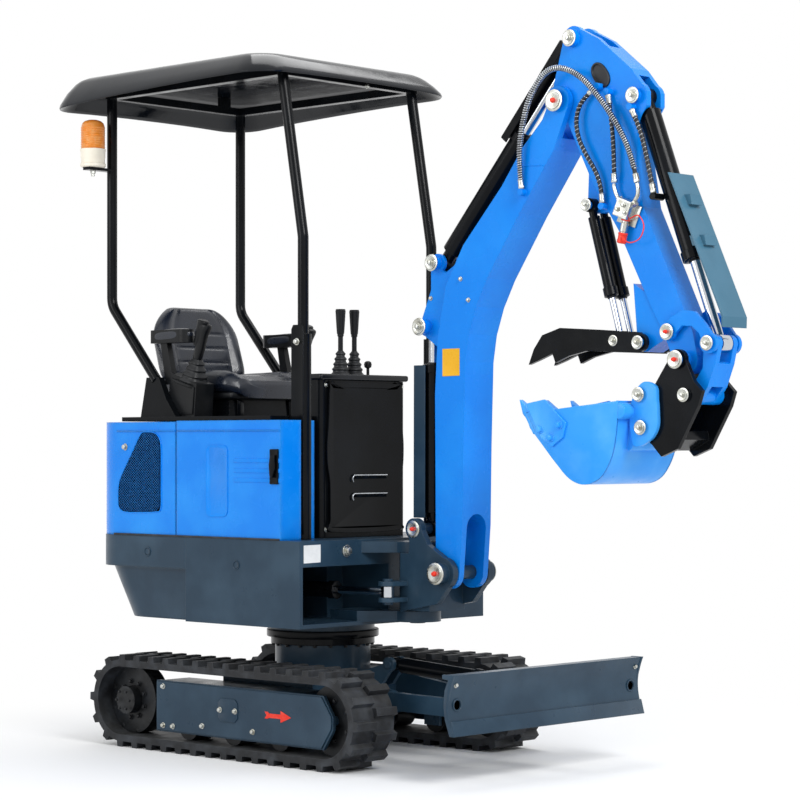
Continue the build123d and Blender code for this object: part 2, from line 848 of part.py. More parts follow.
# Swing bracket: kingpin barrel, two cheeks for the boom's foot and the lug of the swing ram
kingpin = (slew_x + kingpin_dx, 0)
swing_angle = math.radians(swing_lug_angle)
swing_eye_xy = (
    kingpin[0] + swing_lug_reach * math.cos(swing_angle),
    swing_lug_reach * math.sin(swing_angle),
)
barrel_low = nose_low_z + nose_plate + pin_gap
barrel_high = nose_top_z - nose_plate - pin_gap
cheek_outline = [
    place(kingpin_dx + 12, barrel_low),
    place(foot_dx - 20, barrel_low + 30),
    offset_from(foot_pin, (30.0, -38.0)),
    offset_from(foot_pin, (34.0, 34.0)),
    place(foot_dx - 60, 690.0),
    offset_from(boom_ram_base, (32.0, 0)),
    offset_from(boom_ram_base, (-20.0, -28.0)),
    place(kingpin_dx + 52, barrel_high + 30),
    place(kingpin_dx + 48, barrel_high),
    place(kingpin_dx + 12, barrel_high),
]
base_pin_radius = 18.0
with BuildPart() as swing_bracket:
    with BuildSketch(Plane.XY.offset(barrel_low)):
        with Locations(kingpin):
            Circle(bracket_barrel)
    extrude(amount=barrel_high - barrel_low)
    with BuildSketch(Plane.XY.offset(nose_low_z - 6)):
        with Locations(kingpin):
            Circle(kingpin_radius)
    extrude(amount=nose_top_z + 12 - nose_low_z)
    for hand in (-1, 1):
        lobes = [(foot_pin, 50.0), (boom_ram_base, 34.0)]
        add(lobed_plate(cheek_outline, lobes, hand * bracket_cheek_y, bracket_cheek))
        add(cross_disc(foot_pin, 34.0, hand * (bracket_cheek_y + 22), 36.0))
    web_front = foot_dx - 62
    add(box_between(kingpin_dx, web_front, -bracket_cheek_y, bracket_cheek_y, barrel_low + 4, barrel_high - 50))
    add(cross_disc(foot_pin, foot_pin_radius, 0, 2 * bracket_cheek_y))
    add(cross_disc(boom_ram_base, base_pin_radius, 0, 2 * bracket_cheek_y))
    lug_low = swing_ram_z - small_eye_width / 2 - side_gap - 14
    lug_high = swing_ram_z + small_eye_width / 2 + side_gap
    for low, stub in ((lug_low, lug_low - 8), (lug_high, lug_high)):
        with BuildSketch(Plane.XY.offset(low)):
            with Locations(swing_eye_xy):
                Circle(30.0)
            with BuildLine():
                Polyline(
                    (swing_eye_xy[0] - 30, swing_eye_xy[1]),
                    (swing_eye_xy[0] + 30, swing_eye_xy[1]),
                    (kingpin[0] + 50, 0),
                    (kingpin[0] - 50, 0),
                    close=True,
                )
            make_face()
        extrude(amount=14.0)
        with BuildSketch(Plane.XY.offset(stub)):
            with Locations(swing_eye_xy):
                Circle(small_rod_radius + 3)
        extrude(amount=22.0)
swing_bracket.part.label = "swing_bracket"
export_step(swing_bracket.part, "parts/swing_bracket.step")

swing_base = Vector(slew_x + swing_ram_base_dx, swing_ram_base_y, swing_ram_z)
swing_eye = Vector(swing_eye_xy[0], swing_eye_xy[1], swing_ram_z)
swing_ram_barrel = ram_barrel(
    swing_base, swing_eye, across_z, swing_barrel_length, small_barrel_radius,
    small_rod_radius, small_eye_radius, small_eye_width, small_rod_radius, small_neck,
)
swing_ram_barrel.label = "swing_ram_barrel"
export_step(swing_ram_barrel, "parts/swing_ram_barrel.step")
swing_ram_rod = ram_rod(
    swing_base, swing_eye, across_z, swing_barrel_length, swing_rod_inside,
    small_rod_radius, small_eye_radius, small_eye_width,
)
swing_ram_rod.label = "swing_ram_rod"
export_step(swing_ram_rod, "parts/swing_ram_rod.step")

# Boom: a welded gooseneck box, forked at its foot and its tip, with a lug for two rams behind
boom_profile = [
    offset_from(foot_pin, (50.0, 0)),
    offset_from(foot_pin, (62.0, 150.0)),
    offset_from(foot_pin, (66.0, 400.0)),
    offset_from(foot_pin, (74.0, 660.0)),
    offset_from(foot_pin, (88.0, 745.0)),
    offset_from(foot_pin, (118.0, 830.0)),
    offset_from(foot_pin, (164.0, 915.0)),
    offset_from(foot_pin, (294.0, 1105.0)),
    offset_from(foot_pin, (432.0, 1290.0)),
    offset_from(arm_pin, (42.0, -20.0)),
    offset_from(arm_pin, (-8.0, 44.0)),
    offset_from(foot_pin, (387.0, 1384.0)),
    offset_from(foot_pin, (308.0, 1306.0)),
    offset_from(foot_pin, (223.0, 1193.0)),
    offset_from(foot_pin, (66.0, 1023.0)),
    offset_from(foot_pin, (-8.0, 900.0)),
    offset_from(foot_pin, (-42.0, 740.0)),
    offset_from(foot_pin, (-53.0, 560.0)),
    offset_from(foot_pin, (-50.0, 150.0)),
    offset_from(foot_pin, (-50.0, 0)),
]
lug_profile = [
    offset_from(foot_pin, (-40.0, 690.0)),
    offset_from(boom_ram_eye, (-8.0, -27.0)),
    offset_from(boom_ram_eye, (-24.0, 14.0)),
    offset_from(arm_ram_base, (-28.0, -84.0)),
    offset_from(arm_ram_base, (-28.0, 10.0)),
    offset_from(arm_ram_base, (34.0, -32.0)),
    offset_from(foot_pin, (60.0, 1000.0)),
    offset_from(foot_pin, (60.0, 940.0)),
    offset_from(foot_pin, (0.0, 760.0)),
]
ram_ear_y = ram_eye_width / 2 + side_gap + ear_plate / 2
with BuildPart() as boom:
    add(lobed_plate(boom_profile, [(foot_pin, 50.0), (arm_pin, 45.0)], 0, 2 * boom_half_width))
    with BuildSketch(Plane.YZ.offset(foot_pin[0] - 90)):
        with BuildLine():
            fork_half = boom_half_width - fork_plate
            fork_low = foot_pin[1] - 70
            left_wall = Line((fork_half, fork_low), (fork_half, foot_pin[1] + fork_height - fork_half))
            arch = TangentArc(left_wall @ 1, (-fork_half, foot_pin[1] + fork_height - fork_half), tangent=(0, 1))
            right_wall = Line(arch @ 1, (-fork_half, fork_low))
            Line(right_wall @ 1, left_wall @ 0)
        make_face()
    extrude(amount=180, mode=Mode.SUBTRACT)
    for hand in (-1, 1):
        add(cross_disc(foot_pin, foot_pin_radius + pin_gap, hand * 56, 30.0), mode=Mode.SUBTRACT)
        lobes = [(boom_ram_eye, 29.0), (arm_ram_base, 30.0)]
        add(lobed_plate(lug_profile, lobes, hand * ram_ear_y, ear_plate))
        add(cross_disc(boom_ram_eye, 24.0, hand * (ram_ear_y + 20), 40.0))
    add(cross_disc(arm_ram_base, base_pin_radius, 0, 2 * ram_ear_y + 70))
    tip_cut = [
        offset_from(arm_pin, (-80.0, -62.0)),
        offset_from(arm_pin, (-30.0, -110.0)),
        offset_from(arm_pin, (90.0, -110.0)),
        offset_from(arm_pin, (90.0, 110.0)),
        offset_from(arm_pin, (-80.0, 110.0)),
    ]
    add(plate(tip_cut, 0, 2 * (arm_half_width + side_gap)), mode=Mode.SUBTRACT)
    add(cross_disc(arm_pin, arm_pin_radius, 0, 2 * (boom_half_width + 14)))
    add(route_port(hose_over_route[0], hose_over_route[1], -boom_half_width + 2))
boom.part.label = "boom"
export_step(boom.part, "parts/boom.step")

boom_base = in_space(boom_ram_base, 0)
boom_eye = in_space(boom_ram_eye, 0)
boom_ram_barrel = ram_barrel(
    boom_base, boom_eye, across_y, boom_barrel_length, ram_barrel_radius,
    ram_rod_radius, ram_eye_radius, ram_eye_width, base_pin_radius, ram_neck,
)
boom_ram_barrel.label = "boom_ram_barrel"
export_step(boom_ram_barrel, "parts/boom_ram_barrel.step")
boom_ram_rod = ram_rod(
    boom_base, boom_eye, across_y, boom_barrel_length, boom_rod_inside,
    ram_rod_radius, ram_eye_radius, ram_eye_width,
)
boom_ram_rod.label = "boom_ram_rod"
export_step(boom_ram_rod, "parts/boom_ram_rod.step")

# Arm: a tapered box with ears for three rams, the boom's tip pin and the rocker
arm_outline = [
    offset_from(arm_ram_eye, (-34.0, 10.0)),
    offset_from(arm_ram_eye, (4.0, 38.0)),
    offset_from(arm_pin, (140.0, 175.0)),
    offset_from(arm_pin, (262.0, 74.0)),
    offset_from(bucket_ram_base, (40.0, 10.0)),
    offset_from(bucket_ram_base, (40.0, -30.0)),
    offset_from(arm_pin, (288.0, -90.0)),
    offset_from(arm_pin, (284.0, -200.0)),
    offset_from(arm_pin, (309.0, -337.0)),
    offset_from(arm_pin, (456.0, -644.0)),
    offset_from(arm_pin, (486.0, -700.0)),
    offset_from(tip_pin, (40.0, 10.0)),
    offset_from(tip_pin, (-36.0, -20.0)),
    offset_from(rocker_pin, (-28.0, -6.0)),
    offset_from(arm_pin, (342.0, -640.0)),
    offset_from(arm_pin, (216.0, -399.0)),
    offset_from(arm_pin, (121.0, -258.0)),
    offset_from(arm_pin, (20.0, -60.0)),
    offset_from(arm_pin, (-44.0, 0.0)),
    offset_from(arm_pin, (-30.0, 60.0)),
]
arm_lobes = [
    (arm_ram_eye, 38.0),
    (arm_pin, 46.0),
    (bucket_ram_base, 40.0),
    (tip_pin, 40.0),
    (rocker_pin, 28.0),
]
thumb_ear_y = 40.0
thumb_base_ear_y = thumb_ram_spread - thumb_eye_width / 2 - side_gap
thumb_ear = [
    offset_from(arm_pin, (270.0, -560.0)),
    offset_from(arm_pin, (400.0, -640.0)),
    offset_from(rocker_pin, (10.0, 0.0)),
    offset_from(thumb_pin, (8.0, -27.0)),
    offset_from(thumb_pin, (-27.0, 6.0)),
]
thumb_base_ear = [
    offset_from(arm_pin, (80.0, -215.0)),
    offset_from(arm_pin, (150.0, -250.0)),
    offset_from(arm_pin, (190.0, -340.0)),
    offset_from(thumb_ram_base, (8.0, -24.0)),
    offset_from(thumb_ram_base, (-24.0, 6.0)),
]
with BuildPart() as arm:
    add(lobed_plate(arm_outline, arm_lobes, 0, 2 * arm_half_width))
    gap = ram_eye_width / 2 + side_gap
    for pin, pocket in ((arm_ram_eye, 131.0), (bucket_ram_base, 62.0)):
        add(cross_disc(pin, pocket, 0, 2 * gap), mode=Mode.SUBTRACT)
    ram_trough = [
        offset_from(bucket_ram_base, (-30.0, -10.0)),
        offset_from(bucket_ram_base, (70.0, 20.0)),
        offset_from(bucket_ram_base, (190.0, -340.0)),
        offset_from(bucket_ram_base, (84.0, -340.0)),
    ]
    add(plate(ram_trough, 0, 2 * gap), mode=Mode.SUBTRACT)
    add(barrel_room(bucket_ram_base, rocker_eye, ram_neck - 4), mode=Mode.SUBTRACT)
    add(cross_disc(arm_pin, arm_pin_radius + pin_gap, 0, 4 * arm_half_width), mode=Mode.SUBTRACT)
    for hand in (-1, 1):
        add(cross_disc(arm_ram_eye, 26.0, hand * (arm_half_width + 9), 18.0))
    add(cross_disc(bucket_ram_base, base_pin_radius, 0, 2 * arm_half_width + 36))
    add(cross_disc(rocker_pin, linkage_pin_radius, 0, 2 * (rocker_plate_y + rocker_plate / 2 + 6)))
    add(cross_disc(tip_pin, linkage_pin_radius + 4, 0, 2 * (hitch_plate_y + hitch_plate / 2 + 10)))
    add(plate(thumb_ear, 0, 2 * thumb_ear_y))
    add(cross_disc(thumb_pin, 27.0, 0, 2 * thumb_ear_y))
    add(cross_disc(thumb_pin, linkage_pin_radius, 0, 2 * (thumb_plate_y + thumb_plate / 2 + 8)))
    add(plate(thumb_base_ear, 0, 2 * thumb_base_ear_y))
    add(cross_disc(thumb_ram_base, 24.0, 0, 2 * thumb_base_ear_y))
    base_reach = thumb_ram_spread + small_eye_width / 2 + 8
    add(cross_disc(thumb_ram_base, small_rod_radius, 0, 2 * base_reach))
    for route in (hose_thumb_route, hose_valve_route, hose_bucket_route):
        add(route_port(route[0], route[1], -arm_half_width + 2))
    add(route_port(hose_thumb_route[-1], hose_thumb_route[-2], -arm_half_width + 2))
arm.part.label = "arm"
export_step(arm.part, "parts/arm.step")

arm_base = in_space(arm_ram_base, 0)
arm_eye = in_space(arm_ram_eye, 0)
arm_ram_barrel = ram_barrel(
    arm_base, arm_eye, across_y, arm_barrel_length, ram_barrel_radius,
    ram_rod_radius, ram_eye_radius, ram_eye_width, base_pin_radius, ram_neck,
)
arm_ram_barrel.label = "arm_ram_barrel"
export_step(arm_ram_barrel, "parts/arm_ram_barrel.step")
arm_ram_rod = ram_rod(
    arm_base, arm_eye, across_y, arm_barrel_length, arm_rod_inside,
    ram_rod_radius, ram_eye_radius, ram_eye_width,
)
arm_ram_rod.label = "arm_ram_rod"
export_step(arm_ram_rod, "parts/arm_ram_rod.step")

bucket_base = in_space(bucket_ram_base, 0)
bucket_eye = in_space(rocker_eye, 0)
bucket_ram_barrel = ram_barrel(
    bucket_base, bucket_eye, across_y, bucket_barrel_length, ram_barrel_radius,
    ram_rod_radius, ram_eye_radius, ram_eye_width, base_pin_radius, ram_neck,
)
with BuildPart() as bucket_barrel_with_port:
    add(bucket_ram_barrel)
    add(route_port(hose_bucket_route[-1], hose_bucket_route[-2], -ram_rod_radius - 4))
bucket_ram_barrel = bucket_barrel_with_port.part
guard_top = offset_from(bucket_ram_base, (133.0, -236.0))
guard_low = offset_from(rocker_eye, (50.0, 75.0))
guard_tip = offset_from(rocker_eye, (49.0, 44.0))
guard_profile = [
    guard_top,
    guard_low,
    guard_tip,
    offset_from(guard_tip, (-5.0, 0)),
    offset_from(guard_low, (-6.0, 0)),
    offset_from(guard_top, (-6.0, 0)),
]
with BuildPart() as bucket_ram_guard:
    add(plate(guard_profile, 0, 2 * guard_half_width))
    clip_low = offset_from(bucket_ram_base, (114.0, -300.0))
    for drop in (0.0, 120.0):
        clip = [
            offset_from(clip_low, (22.0 + drop * 0.373, -drop)),
            offset_from(clip_low, (70.0 + drop * 0.42, -drop)),
            offset_from(clip_low, (76.0 + drop * 0.42, -drop - 30.0)),
            offset_from(clip_low, (33.0 + drop * 0.373, -drop - 30.0)),
        ]
        add(plate(clip, 0, 50.0))
    add(guard_clearance(bucket_base, bucket_eye), mode=Mode.SUBTRACT)
bucket_ram_guard.part.label = "bucket_ram_guard"
export_step(bucket_ram_guard.part, "parts/bucket_ram_guard.step")
bucket_ram_barrel.label = "bucket_ram_barrel"
export_step(bucket_ram_barrel, "parts/bucket_ram_barrel.step")
bucket_ram_rod = ram_rod(
    bucket_base, bucket_eye, across_y, bucket_barrel_length, bucket_rod_inside,
    ram_rod_radius, ram_eye_radius, ram_eye_width,
)
bucket_ram_rod.label = "bucket_ram_rod"
export_step(bucket_ram_rod, "parts/bucket_ram_rod.step")

# Valve block: a tilted block on the arm's side, with a port for each hose and a coupler below
valve_centre = place(1322.0, 1698.0)
valve_corners = [
    offset_from(valve_centre, (-36.0, -16.0)),
    offset_from(valve_centre, (-14.0, 34.0)),
    offset_from(valve_centre, (36.0, 14.0)),
    offset_from(valve_centre, (14.0, -36.0)),
]
valve_plate = [
    offset_from(valve_centre, (-44.0, -34.0)),
    offset_from(valve_centre, (-16.0, 30.0)),
    offset_from(valve_centre, (50.0, 2.0)),
    offset_from(valve_centre, (24.0, -58.0)),
]
valve_y = -arm_half_width - seat_gap


def valve_pipe(points, radius):
    """A rigid pipe or stem of the valve block, along straight runs."""
    with BuildPart() as made:
        for start, end in zip(points, points[1:]):
            with BuildSketch(Plane(origin=start, z_dir=end - start)):
                Circle(radius)
            extrude(amount=(end - start).length)
        for corner in points[1:-1]:
            with Locations(corner):
                Sphere(radius)
    return made.part


with BuildPart() as valve_block:
    add(plate(valve_plate, valve_y - 3, 6.0))
    add(plate(valve_corners, valve_y - valve_depth / 2, valve_depth))
    over_way = (hose_over_route[-1] - hose_over_route[-2]).normalized()
    over_end = hose_over_route[-1] + over_way * port_gap
    add(
        valve_pipe(
            [
                over_end,
                over_end + over_way * 16,
                Vector(valve_centre[0] + 22, valve_y - valve_depth / 2, valve_centre[1]),
            ],
            hose_radius,
        )
    )
    valve_way = (hose_valve_route[-1] - hose_valve_route[-2]).normalized()
    valve_end = hose_valve_route[-1] + valve_way * port_gap
    add(
        valve_pipe(
            [
                valve_end,
                valve_end + valve_way * 14,
                Vector(valve_centre[0] - 12, valve_y - valve_depth / 2, valve_centre[1] + 8),
            ],
            hose_radius,
        )
    )
    add(
        valve_pipe(
            [
                Vector(valve_centre[0], valve_y - valve_depth / 2, valve_centre[1] - 20),
                Vector(valve_centre[0] - 22, valve_y - valve_depth / 2, valve_centre[1] - 92),
            ],
            coupler_radius,
        )
    )
valve_block.part.label = "valve_block"
export_step(valve_block.part, "parts/valve_block.step")

hose_routes = [
    ("hose_over", hose_over_route),
    ("hose_thumb", hose_thumb_route),
    ("hose_valve", hose_valve_route),
    ("hose_bucket", hose_bucket_route),
]
for name, route in hose_routes:
    hose = hose_tube(route)
    hose.label = name
    export_step(hose, "parts/" + name + ".step")

# Rocker: two horseshoe plates beside the arm, from its pin to the ram's eye
rocker_outer = [
    offset_from(rocker_pin, (-20.0, 18.0)),
    offset_from(rocker_pin, (10.0, 42.0)),
    offset_from(rocker_pin, (50.0, 62.0)),
    offset_from(rocker_pin, (95.0, 56.0)),
    offset_from(rocker_pin, (132.0, 20.0)),
    offset_from(rocker_eye, (26.0, 8.0)),
    offset_from(rocker_eye, (-4.0, -28.0)),
    offset_from(rocker_pin, (110.0, -6.0)),
    offset_from(rocker_pin, (85.0, 14.0)),
    offset_from(rocker_pin, (50.0, 16.0)),
    offset_from(rocker_pin, (14.0, -16.0)),
]
with BuildPart() as rocker:
    for hand in (-1, 1):
        lobes = [(rocker_pin, 26.0), (rocker_eye, 30.0)]
        add(lobed_plate(rocker_outer, lobes, hand * rocker_plate_y, rocker_plate))
        add(
            cross_disc(rocker_pin, linkage_pin_radius + pin_gap, hand * rocker_plate_y, rocker_plate + 2),
            mode=Mode.SUBTRACT,
        )
        stub_reach = rocker_plate_y + rocker_plate / 2 + 6
        stub_inner = ram_eye_width / 2 + side_gap
        add(cross_disc(rocker_eye, linkage_pin_radius, hand * (stub_reach + stub_inner) / 2, stub_reach - stub_inner))
rocker.part.label = "rocker"
export_step(rocker.part, "parts/rocker.step")

# Link: two curved bars with a web on their outer side, from the rocker's eye to the hitch
link_outline = [
    offset_from(rocker_eye, (-26.0, -8.0)),
    offset_from(rocker_eye, (0.0, 26.0)),
    offset_from(rocker_eye, (27.0, 0.0)),
    offset_from(rocker_eye, (14.0, -58.0)),
    offset_from(rocker_eye, (-12.0, -125.0)),
    offset_from(hitch_link_pin, (18.0, -22.0)),
    offset_from(hitch_link_pin, (-24.0, 4.0)),
    offset_from(hitch_link_pin, (0.0, 28.0)),
    offset_from(rocker_eye, (-30.0, -70.0)),
]
with BuildPart() as link:
    for hand in (-1, 1):
        lobes = [(rocker_eye, 27.0), (hitch_link_pin, 27.0)]
        add(lobed_plate(link_outline, lobes, hand * link_plate_y, link_plate))
        add(
            cross_disc(rocker_eye, linkage_pin_radius + pin_gap, hand * link_plate_y, link_plate + 2),
            mode=Mode.SUBTRACT,
        )
    link_web = [
        offset_from(rocker_eye, (-2.0, -52.0)),
        offset_from(rocker_eye, (14.0, -58.0)),
        offset_from(rocker_eye, (-12.0, -125.0)),
        offset_from(rocker_eye, (-30.0, -118.0)),
    ]
    add(plate(link_web, 0, 2 * link_plate_y))
    boss_reach = hitch_plate_y - hitch_plate / 2 - side_gap
    add(cross_disc(hitch_link_pin, 27.0, 0, 2 * boss_reach))
link.part.label = "link"
export_step(link.part, "parts/link.step")

# Hitch: two black plates that carry the bucket's pins
hitch_outline = [
    offset_from(tip_pin, (-28.0, 4.0)),
    offset_from(tip_pin, (18.0, 22.0)),
    offset_from(tip_pin, (59.0, -62.0)),
    offset_from(tip_pin, (88.0, -91.0)),
    offset_from(tip_pin, (74.0, -133.0)),
    offset_from(tip_pin, (1.0, -257.0)),
    offset_from(tip_pin, (-57.0, -279.0)),
    offset_from(tip_pin, (-90.0, -245.0)),
    offset_from(tip_pin, (-150.0, -200.0)),
    offset_from(tip_pin, (-152.0, -90.0)),
    offset_from(tip_pin, (-79.0, -69.0)),
]
upper_bucket_pin = offset_from(tip_pin, bucket_pin_upper)
lower_bucket_pin = offset_from(tip_pin, bucket_pin_lower)
with BuildPart() as hitch:
    for hand in (-1, 1):
        lobes = [(tip_pin, 30.0), (hitch_link_pin, 32.0)]
        add(lobed_plate(hitch_outline, lobes, hand * hitch_plate_y, hitch_plate))
        add(
            cross_disc(tip_pin, linkage_pin_radius + 4 + pin_gap, hand * hitch_plate_y, hitch_plate + 2),
            mode=Mode.SUBTRACT,
        )
        add(cross_disc(hitch_link_pin, 20.0, hand * (hitch_plate_y + hitch_plate / 2 + 4), 8.0))
    ear_y = hitch_plate_y + hitch_plate / 2 + seat_gap + bucket_ear / 2
    for pin in (upper_bucket_pin, lower_bucket_pin):
        add(cross_disc(pin, linkage_pin_radius, 0, 2 * (ear_y + bucket_ear / 2 + 8)))
    tie = [
        offset_from(tip_pin, (-60.0, -262.0)),
        offset_from(tip_pin, (0.0, -230.0)),
        offset_from(tip_pin, (-6.0, -205.0)),
        offset_from(tip_pin, (-70.0, -240.0)),
    ]
    add(plate(tie, 0, 2 * hitch_plate_y))
hitch.part.label = "hitch"
export_step(hitch.part, "parts/hitch.step")

# Bucket: a curved shell between two side plates, with ears on the hitch's pins and three teeth
bucket_side = [
    offset_from(tip_pin, (-164.0, -117.0)),
    offset_from(tip_pin, (-168.0, -160.0)),
    offset_from(tip_pin, (-186.0, -286.0)),
    offset_from(tip_pin, (-232.0, -345.0)),
    offset_from(tip_pin, (-290.0, -363.0)),
    offset_from(tip_pin, (-347.0, -347.0)),
    offset_from(tip_pin, (-401.0, -298.0)),
    offset_from(tip_pin, (-500.0, -195.0)),
    offset_from(tip_pin, (-520.0, -150.0)),
]
bucket_hollow = [
    offset_from(tip_pin, (-140.0, -60.0)),
    offset_from(tip_pin, (-176.0, -160.0)),
    offset_from(tip_pin, (-194.0, -282.0)),
    offset_from(tip_pin, (-237.0, -337.0)),
    offset_from(tip_pin, (-290.0, -354.0)),
    offset_from(tip_pin, (-342.0, -339.0)),
    offset_from(tip_pin, (-395.0, -292.0)),
    offset_from(tip_pin, (-494.0, -188.0)),
    offset_from(tip_pin, (-530.0, -60.0)),
]
bucket_ear_outline = [
    offset_from(upper_bucket_pin, (-30.0, 6.0)),
    offset_from(upper_bucket_pin, (30.0, 0.0)),
    offset_from(lower_bucket_pin, (32.0, 0.0)),
    offset_from(lower_bucket_pin, (-10.0, -34.0)),
    offset_from(tip_pin, (-190.0, -250.0)),
    offset_from(tip_pin, (-176.0, -150.0)),
]
with BuildPart() as bucket:
    add(plate(bucket_side, 0, 2 * bucket_half_width))
    add(plate(bucket_hollow, 0, 2 * (bucket_half_width - bucket_wall)), mode=Mode.SUBTRACT)
    for hand in (-1, 1):
        ear_y = hitch_plate_y + hitch_plate / 2 + seat_gap + bucket_ear / 2
        lobes = [(upper_bucket_pin, 30.0), (lower_bucket_pin, 32.0)]
        add(lobed_plate(bucket_ear_outline, lobes, hand * ear_y, bucket_ear))
        for pin in (upper_bucket_pin, lower_bucket_pin):
            add(
                cross_disc(pin, linkage_pin_radius + pin_gap, hand * ear_y, bucket_ear + 2),
                mode=Mode.SUBTRACT,
            )
    for i in range(tooth_count):
        tooth = [
            offset_from(tip_pin, (-480.0, -215.0)),
            offset_from(tip_pin, (-470.0, -180.0)),
            offset_from(tip_pin, (-505.0, -150.0)),
            offset_from(tip_pin, (-560.0, -108.0)),
            offset_from(tip_pin, (-538.0, -152.0)),
        ]
        add(plate(tooth, (i - (tooth_count - 1) / 2) * tooth_pitch, tooth_width))
bucket.part.label = "bucket"
export_step(bucket.part, "parts/bucket.step")

# Thumb: two toothed plates on the arm's ear, joined by tubes
thumb_outline = [
    offset_from(thumb_pin, (24.0, 14.0)),
    offset_from(thumb_pin, (0.0, 30.0)),
    offset_from(thumb_pin, (-150.0, 42.0)),
    offset_from(thumb_pin, (-300.0, 52.0)),
    offset_from(thumb_pin, (-370.0, 32.0)),
    offset_from(thumb_pin, (-thumb_length + 20, -10.0)),
    offset_from(thumb_pin, (-thumb_length, -56.0)),
    offset_from(thumb_pin, (-385.0, -44.0)),
    offset_from(thumb_pin, (-330.0, -24.0)),
    offset_from(thumb_pin, (-318.0, -52.0)),
    offset_from(thumb_pin, (-270.0, -34.0)),
    offset_from(thumb_pin, (-200.0, -20.0)),
    offset_from(thumb_pin, (0.0, -30.0)),
]
with BuildPart() as thumb:
    for hand in (-1, 1):
        lobes = [(thumb_pin, 27.0), (thumb_ram_eye, 27.0)]
        add(lobed_plate(thumb_outline, lobes, hand * thumb_plate_y, thumb_plate))
        add(
            cross_disc(thumb_pin, linkage_pin_radius + pin_gap, hand * thumb_plate_y, thumb_plate + 2),
            mode=Mode.SUBTRACT,
        )
    tie_place = offset_from(thumb_pin, (-250.0, 10.0))
    add(cross_disc(tie_place, 20.0, 0, 2 * thumb_plate_y))
thumb.part.label = "thumb"
export_step(thumb.part, "parts/thumb.step")

# Thumb rams: two side by side, whose barrels and rods each move as one
thumb_base = in_space(thumb_ram_base, 0)
thumb_eye = in_space(thumb_ram_eye, 0)
with BuildPart() as thumb_ram_barrels:
    for hand in (-1, 1):
        shift = Vector(0, hand * thumb_ram_spread, 0)
        add(
            ram_barrel(
                thumb_base + shift, thumb_eye + shift, across_y, thumb_barrel_length, thumb_barrel_radius,
                thumb_rod_radius, small_eye_radius, thumb_eye_width, small_rod_radius, small_neck,
            )
        )
thumb_ram_barrels.part.label = "thumb_ram_barrels"
export_step(thumb_ram_barrels.part, "parts/thumb_ram_barrels.step")
with BuildPart() as thumb_ram_rods:
    for hand in (-1, 1):
        shift = Vector(0, hand * thumb_ram_spread, 0)
        add(
            ram_rod(
                thumb_base + shift, thumb_eye + shift, across_y,
                thumb_barrel_length, thumb_rod_inside, thumb_rod_radius, 16.0, 20.0,
            )
        )
    add(eye_boss(thumb_eye, across_y, 17.0, 2 * (thumb_plate_y - thumb_plate / 2 - side_gap)))
thumb_ram_rods.part.label = "thumb_ram_rods"
export_step(thumb_ram_rods.part, "parts/thumb_ram_rods.step")


# Engine room: a fixed cover on each side, a rear door hinged at the left, and the engine inside
def hood_plan(inset):
    """The hood's plan with round rear corners, drawn that far inside its skin."""
    rear = slew_x + hood_rear_dx + inset
    half = hood_half_width - inset
    radius = hood_corner - inset
    with BuildSketch() as made:
        with BuildLine():
            right = Line((slew_x + hood_front_dx, -half), (rear + radius, -half))
            corner_right = TangentArc(right @ 1, (rear, -half + radius), tangent=(-1, 0))
            back = Line(corner_right @ 1, (rear, half - radius))
            corner_left = TangentArc(back @ 1, (rear + radius, half), tangent=(0, 1))
            left = Line(corner_left @ 1, (slew_x + hood_front_dx, half))
            Line(left @ 1, right @ 0)
        make_face()
    return made.sketch


def hood_shell():
    """The whole skin of the engine room, open at its front, top and bottom."""
    with BuildPart() as made:
        with BuildSketch(Plane.XY.offset(hood_low_z)):
            add(hood_plan(0))
            add(hood_plan(hood_wall), mode=Mode.SUBTRACT)
        extrude(amount=hood_high_z - hood_low_z)
    return made.part


door_gap = 5.0
door_edge_y = hood_half_width - hood_corner
hinge_dx = hood_rear_dx - 9
hinge_y = door_edge_y + door_gap / 2
hinge_radius = 8.0
hinge_pin_radius = 4.0
hinge_half = 32.0
hinge_leaf = 4.0
hinge_reach = 34.0


def hinge_knuckle(hand, low):
    """One half of a hinge: a knuckle round the pin's line and its leaf on the skin at that hand."""
    leaf_y = sorted((hinge_y, hinge_y + hand * hinge_reach))
    with BuildPart() as made:
        with BuildSketch(Plane.XY.offset(low)):
            with Locations((slew_x + hinge_dx, hinge_y)):
                Circle(hinge_radius)
        extrude(amount=hinge_half - 2 * seat_gap)
        add(
            box_between(
                hood_rear_dx - hinge_leaf, hood_rear_dx + hood_wall - 1,
                leaf_y[0], leaf_y[1], low, low + hinge_half - 2 * seat_gap,
            )
        )
    return made.part


def hinge_pin(low, radius, length):
    """A hinge's pin, or with a clearance added the bore for it."""
    with BuildPart() as made:
        with BuildSketch(Plane.XY.offset(low)):
            with Locations((slew_x + hinge_dx, hinge_y)):
                Circle(radius)
        extrude(amount=length)
    return made.part


hinge_levels = [hood_low_z + 60, hood_high_z - 60 - 2 * hinge_half]
with BuildPart() as rear_door:
    add(hood_shell())
    add(
        box_between(
            hood_rear_dx - 10, hood_seam_dx - door_gap, -hood_half_width - 1, door_edge_y,
            hood_low_z, hood_high_z - 3,
        ),
        mode=Mode.INTERSECT,
    )
    for level in hinge_levels:
        add(hinge_knuckle(-1, level + hinge_half))
        add(hinge_pin(level, hinge_pin_radius + pin_gap, 2 * hinge_half), mode=Mode.SUBTRACT)
rear_door.part.label = "rear_door"
export_step(rear_door.part, "parts/rear_door.step")

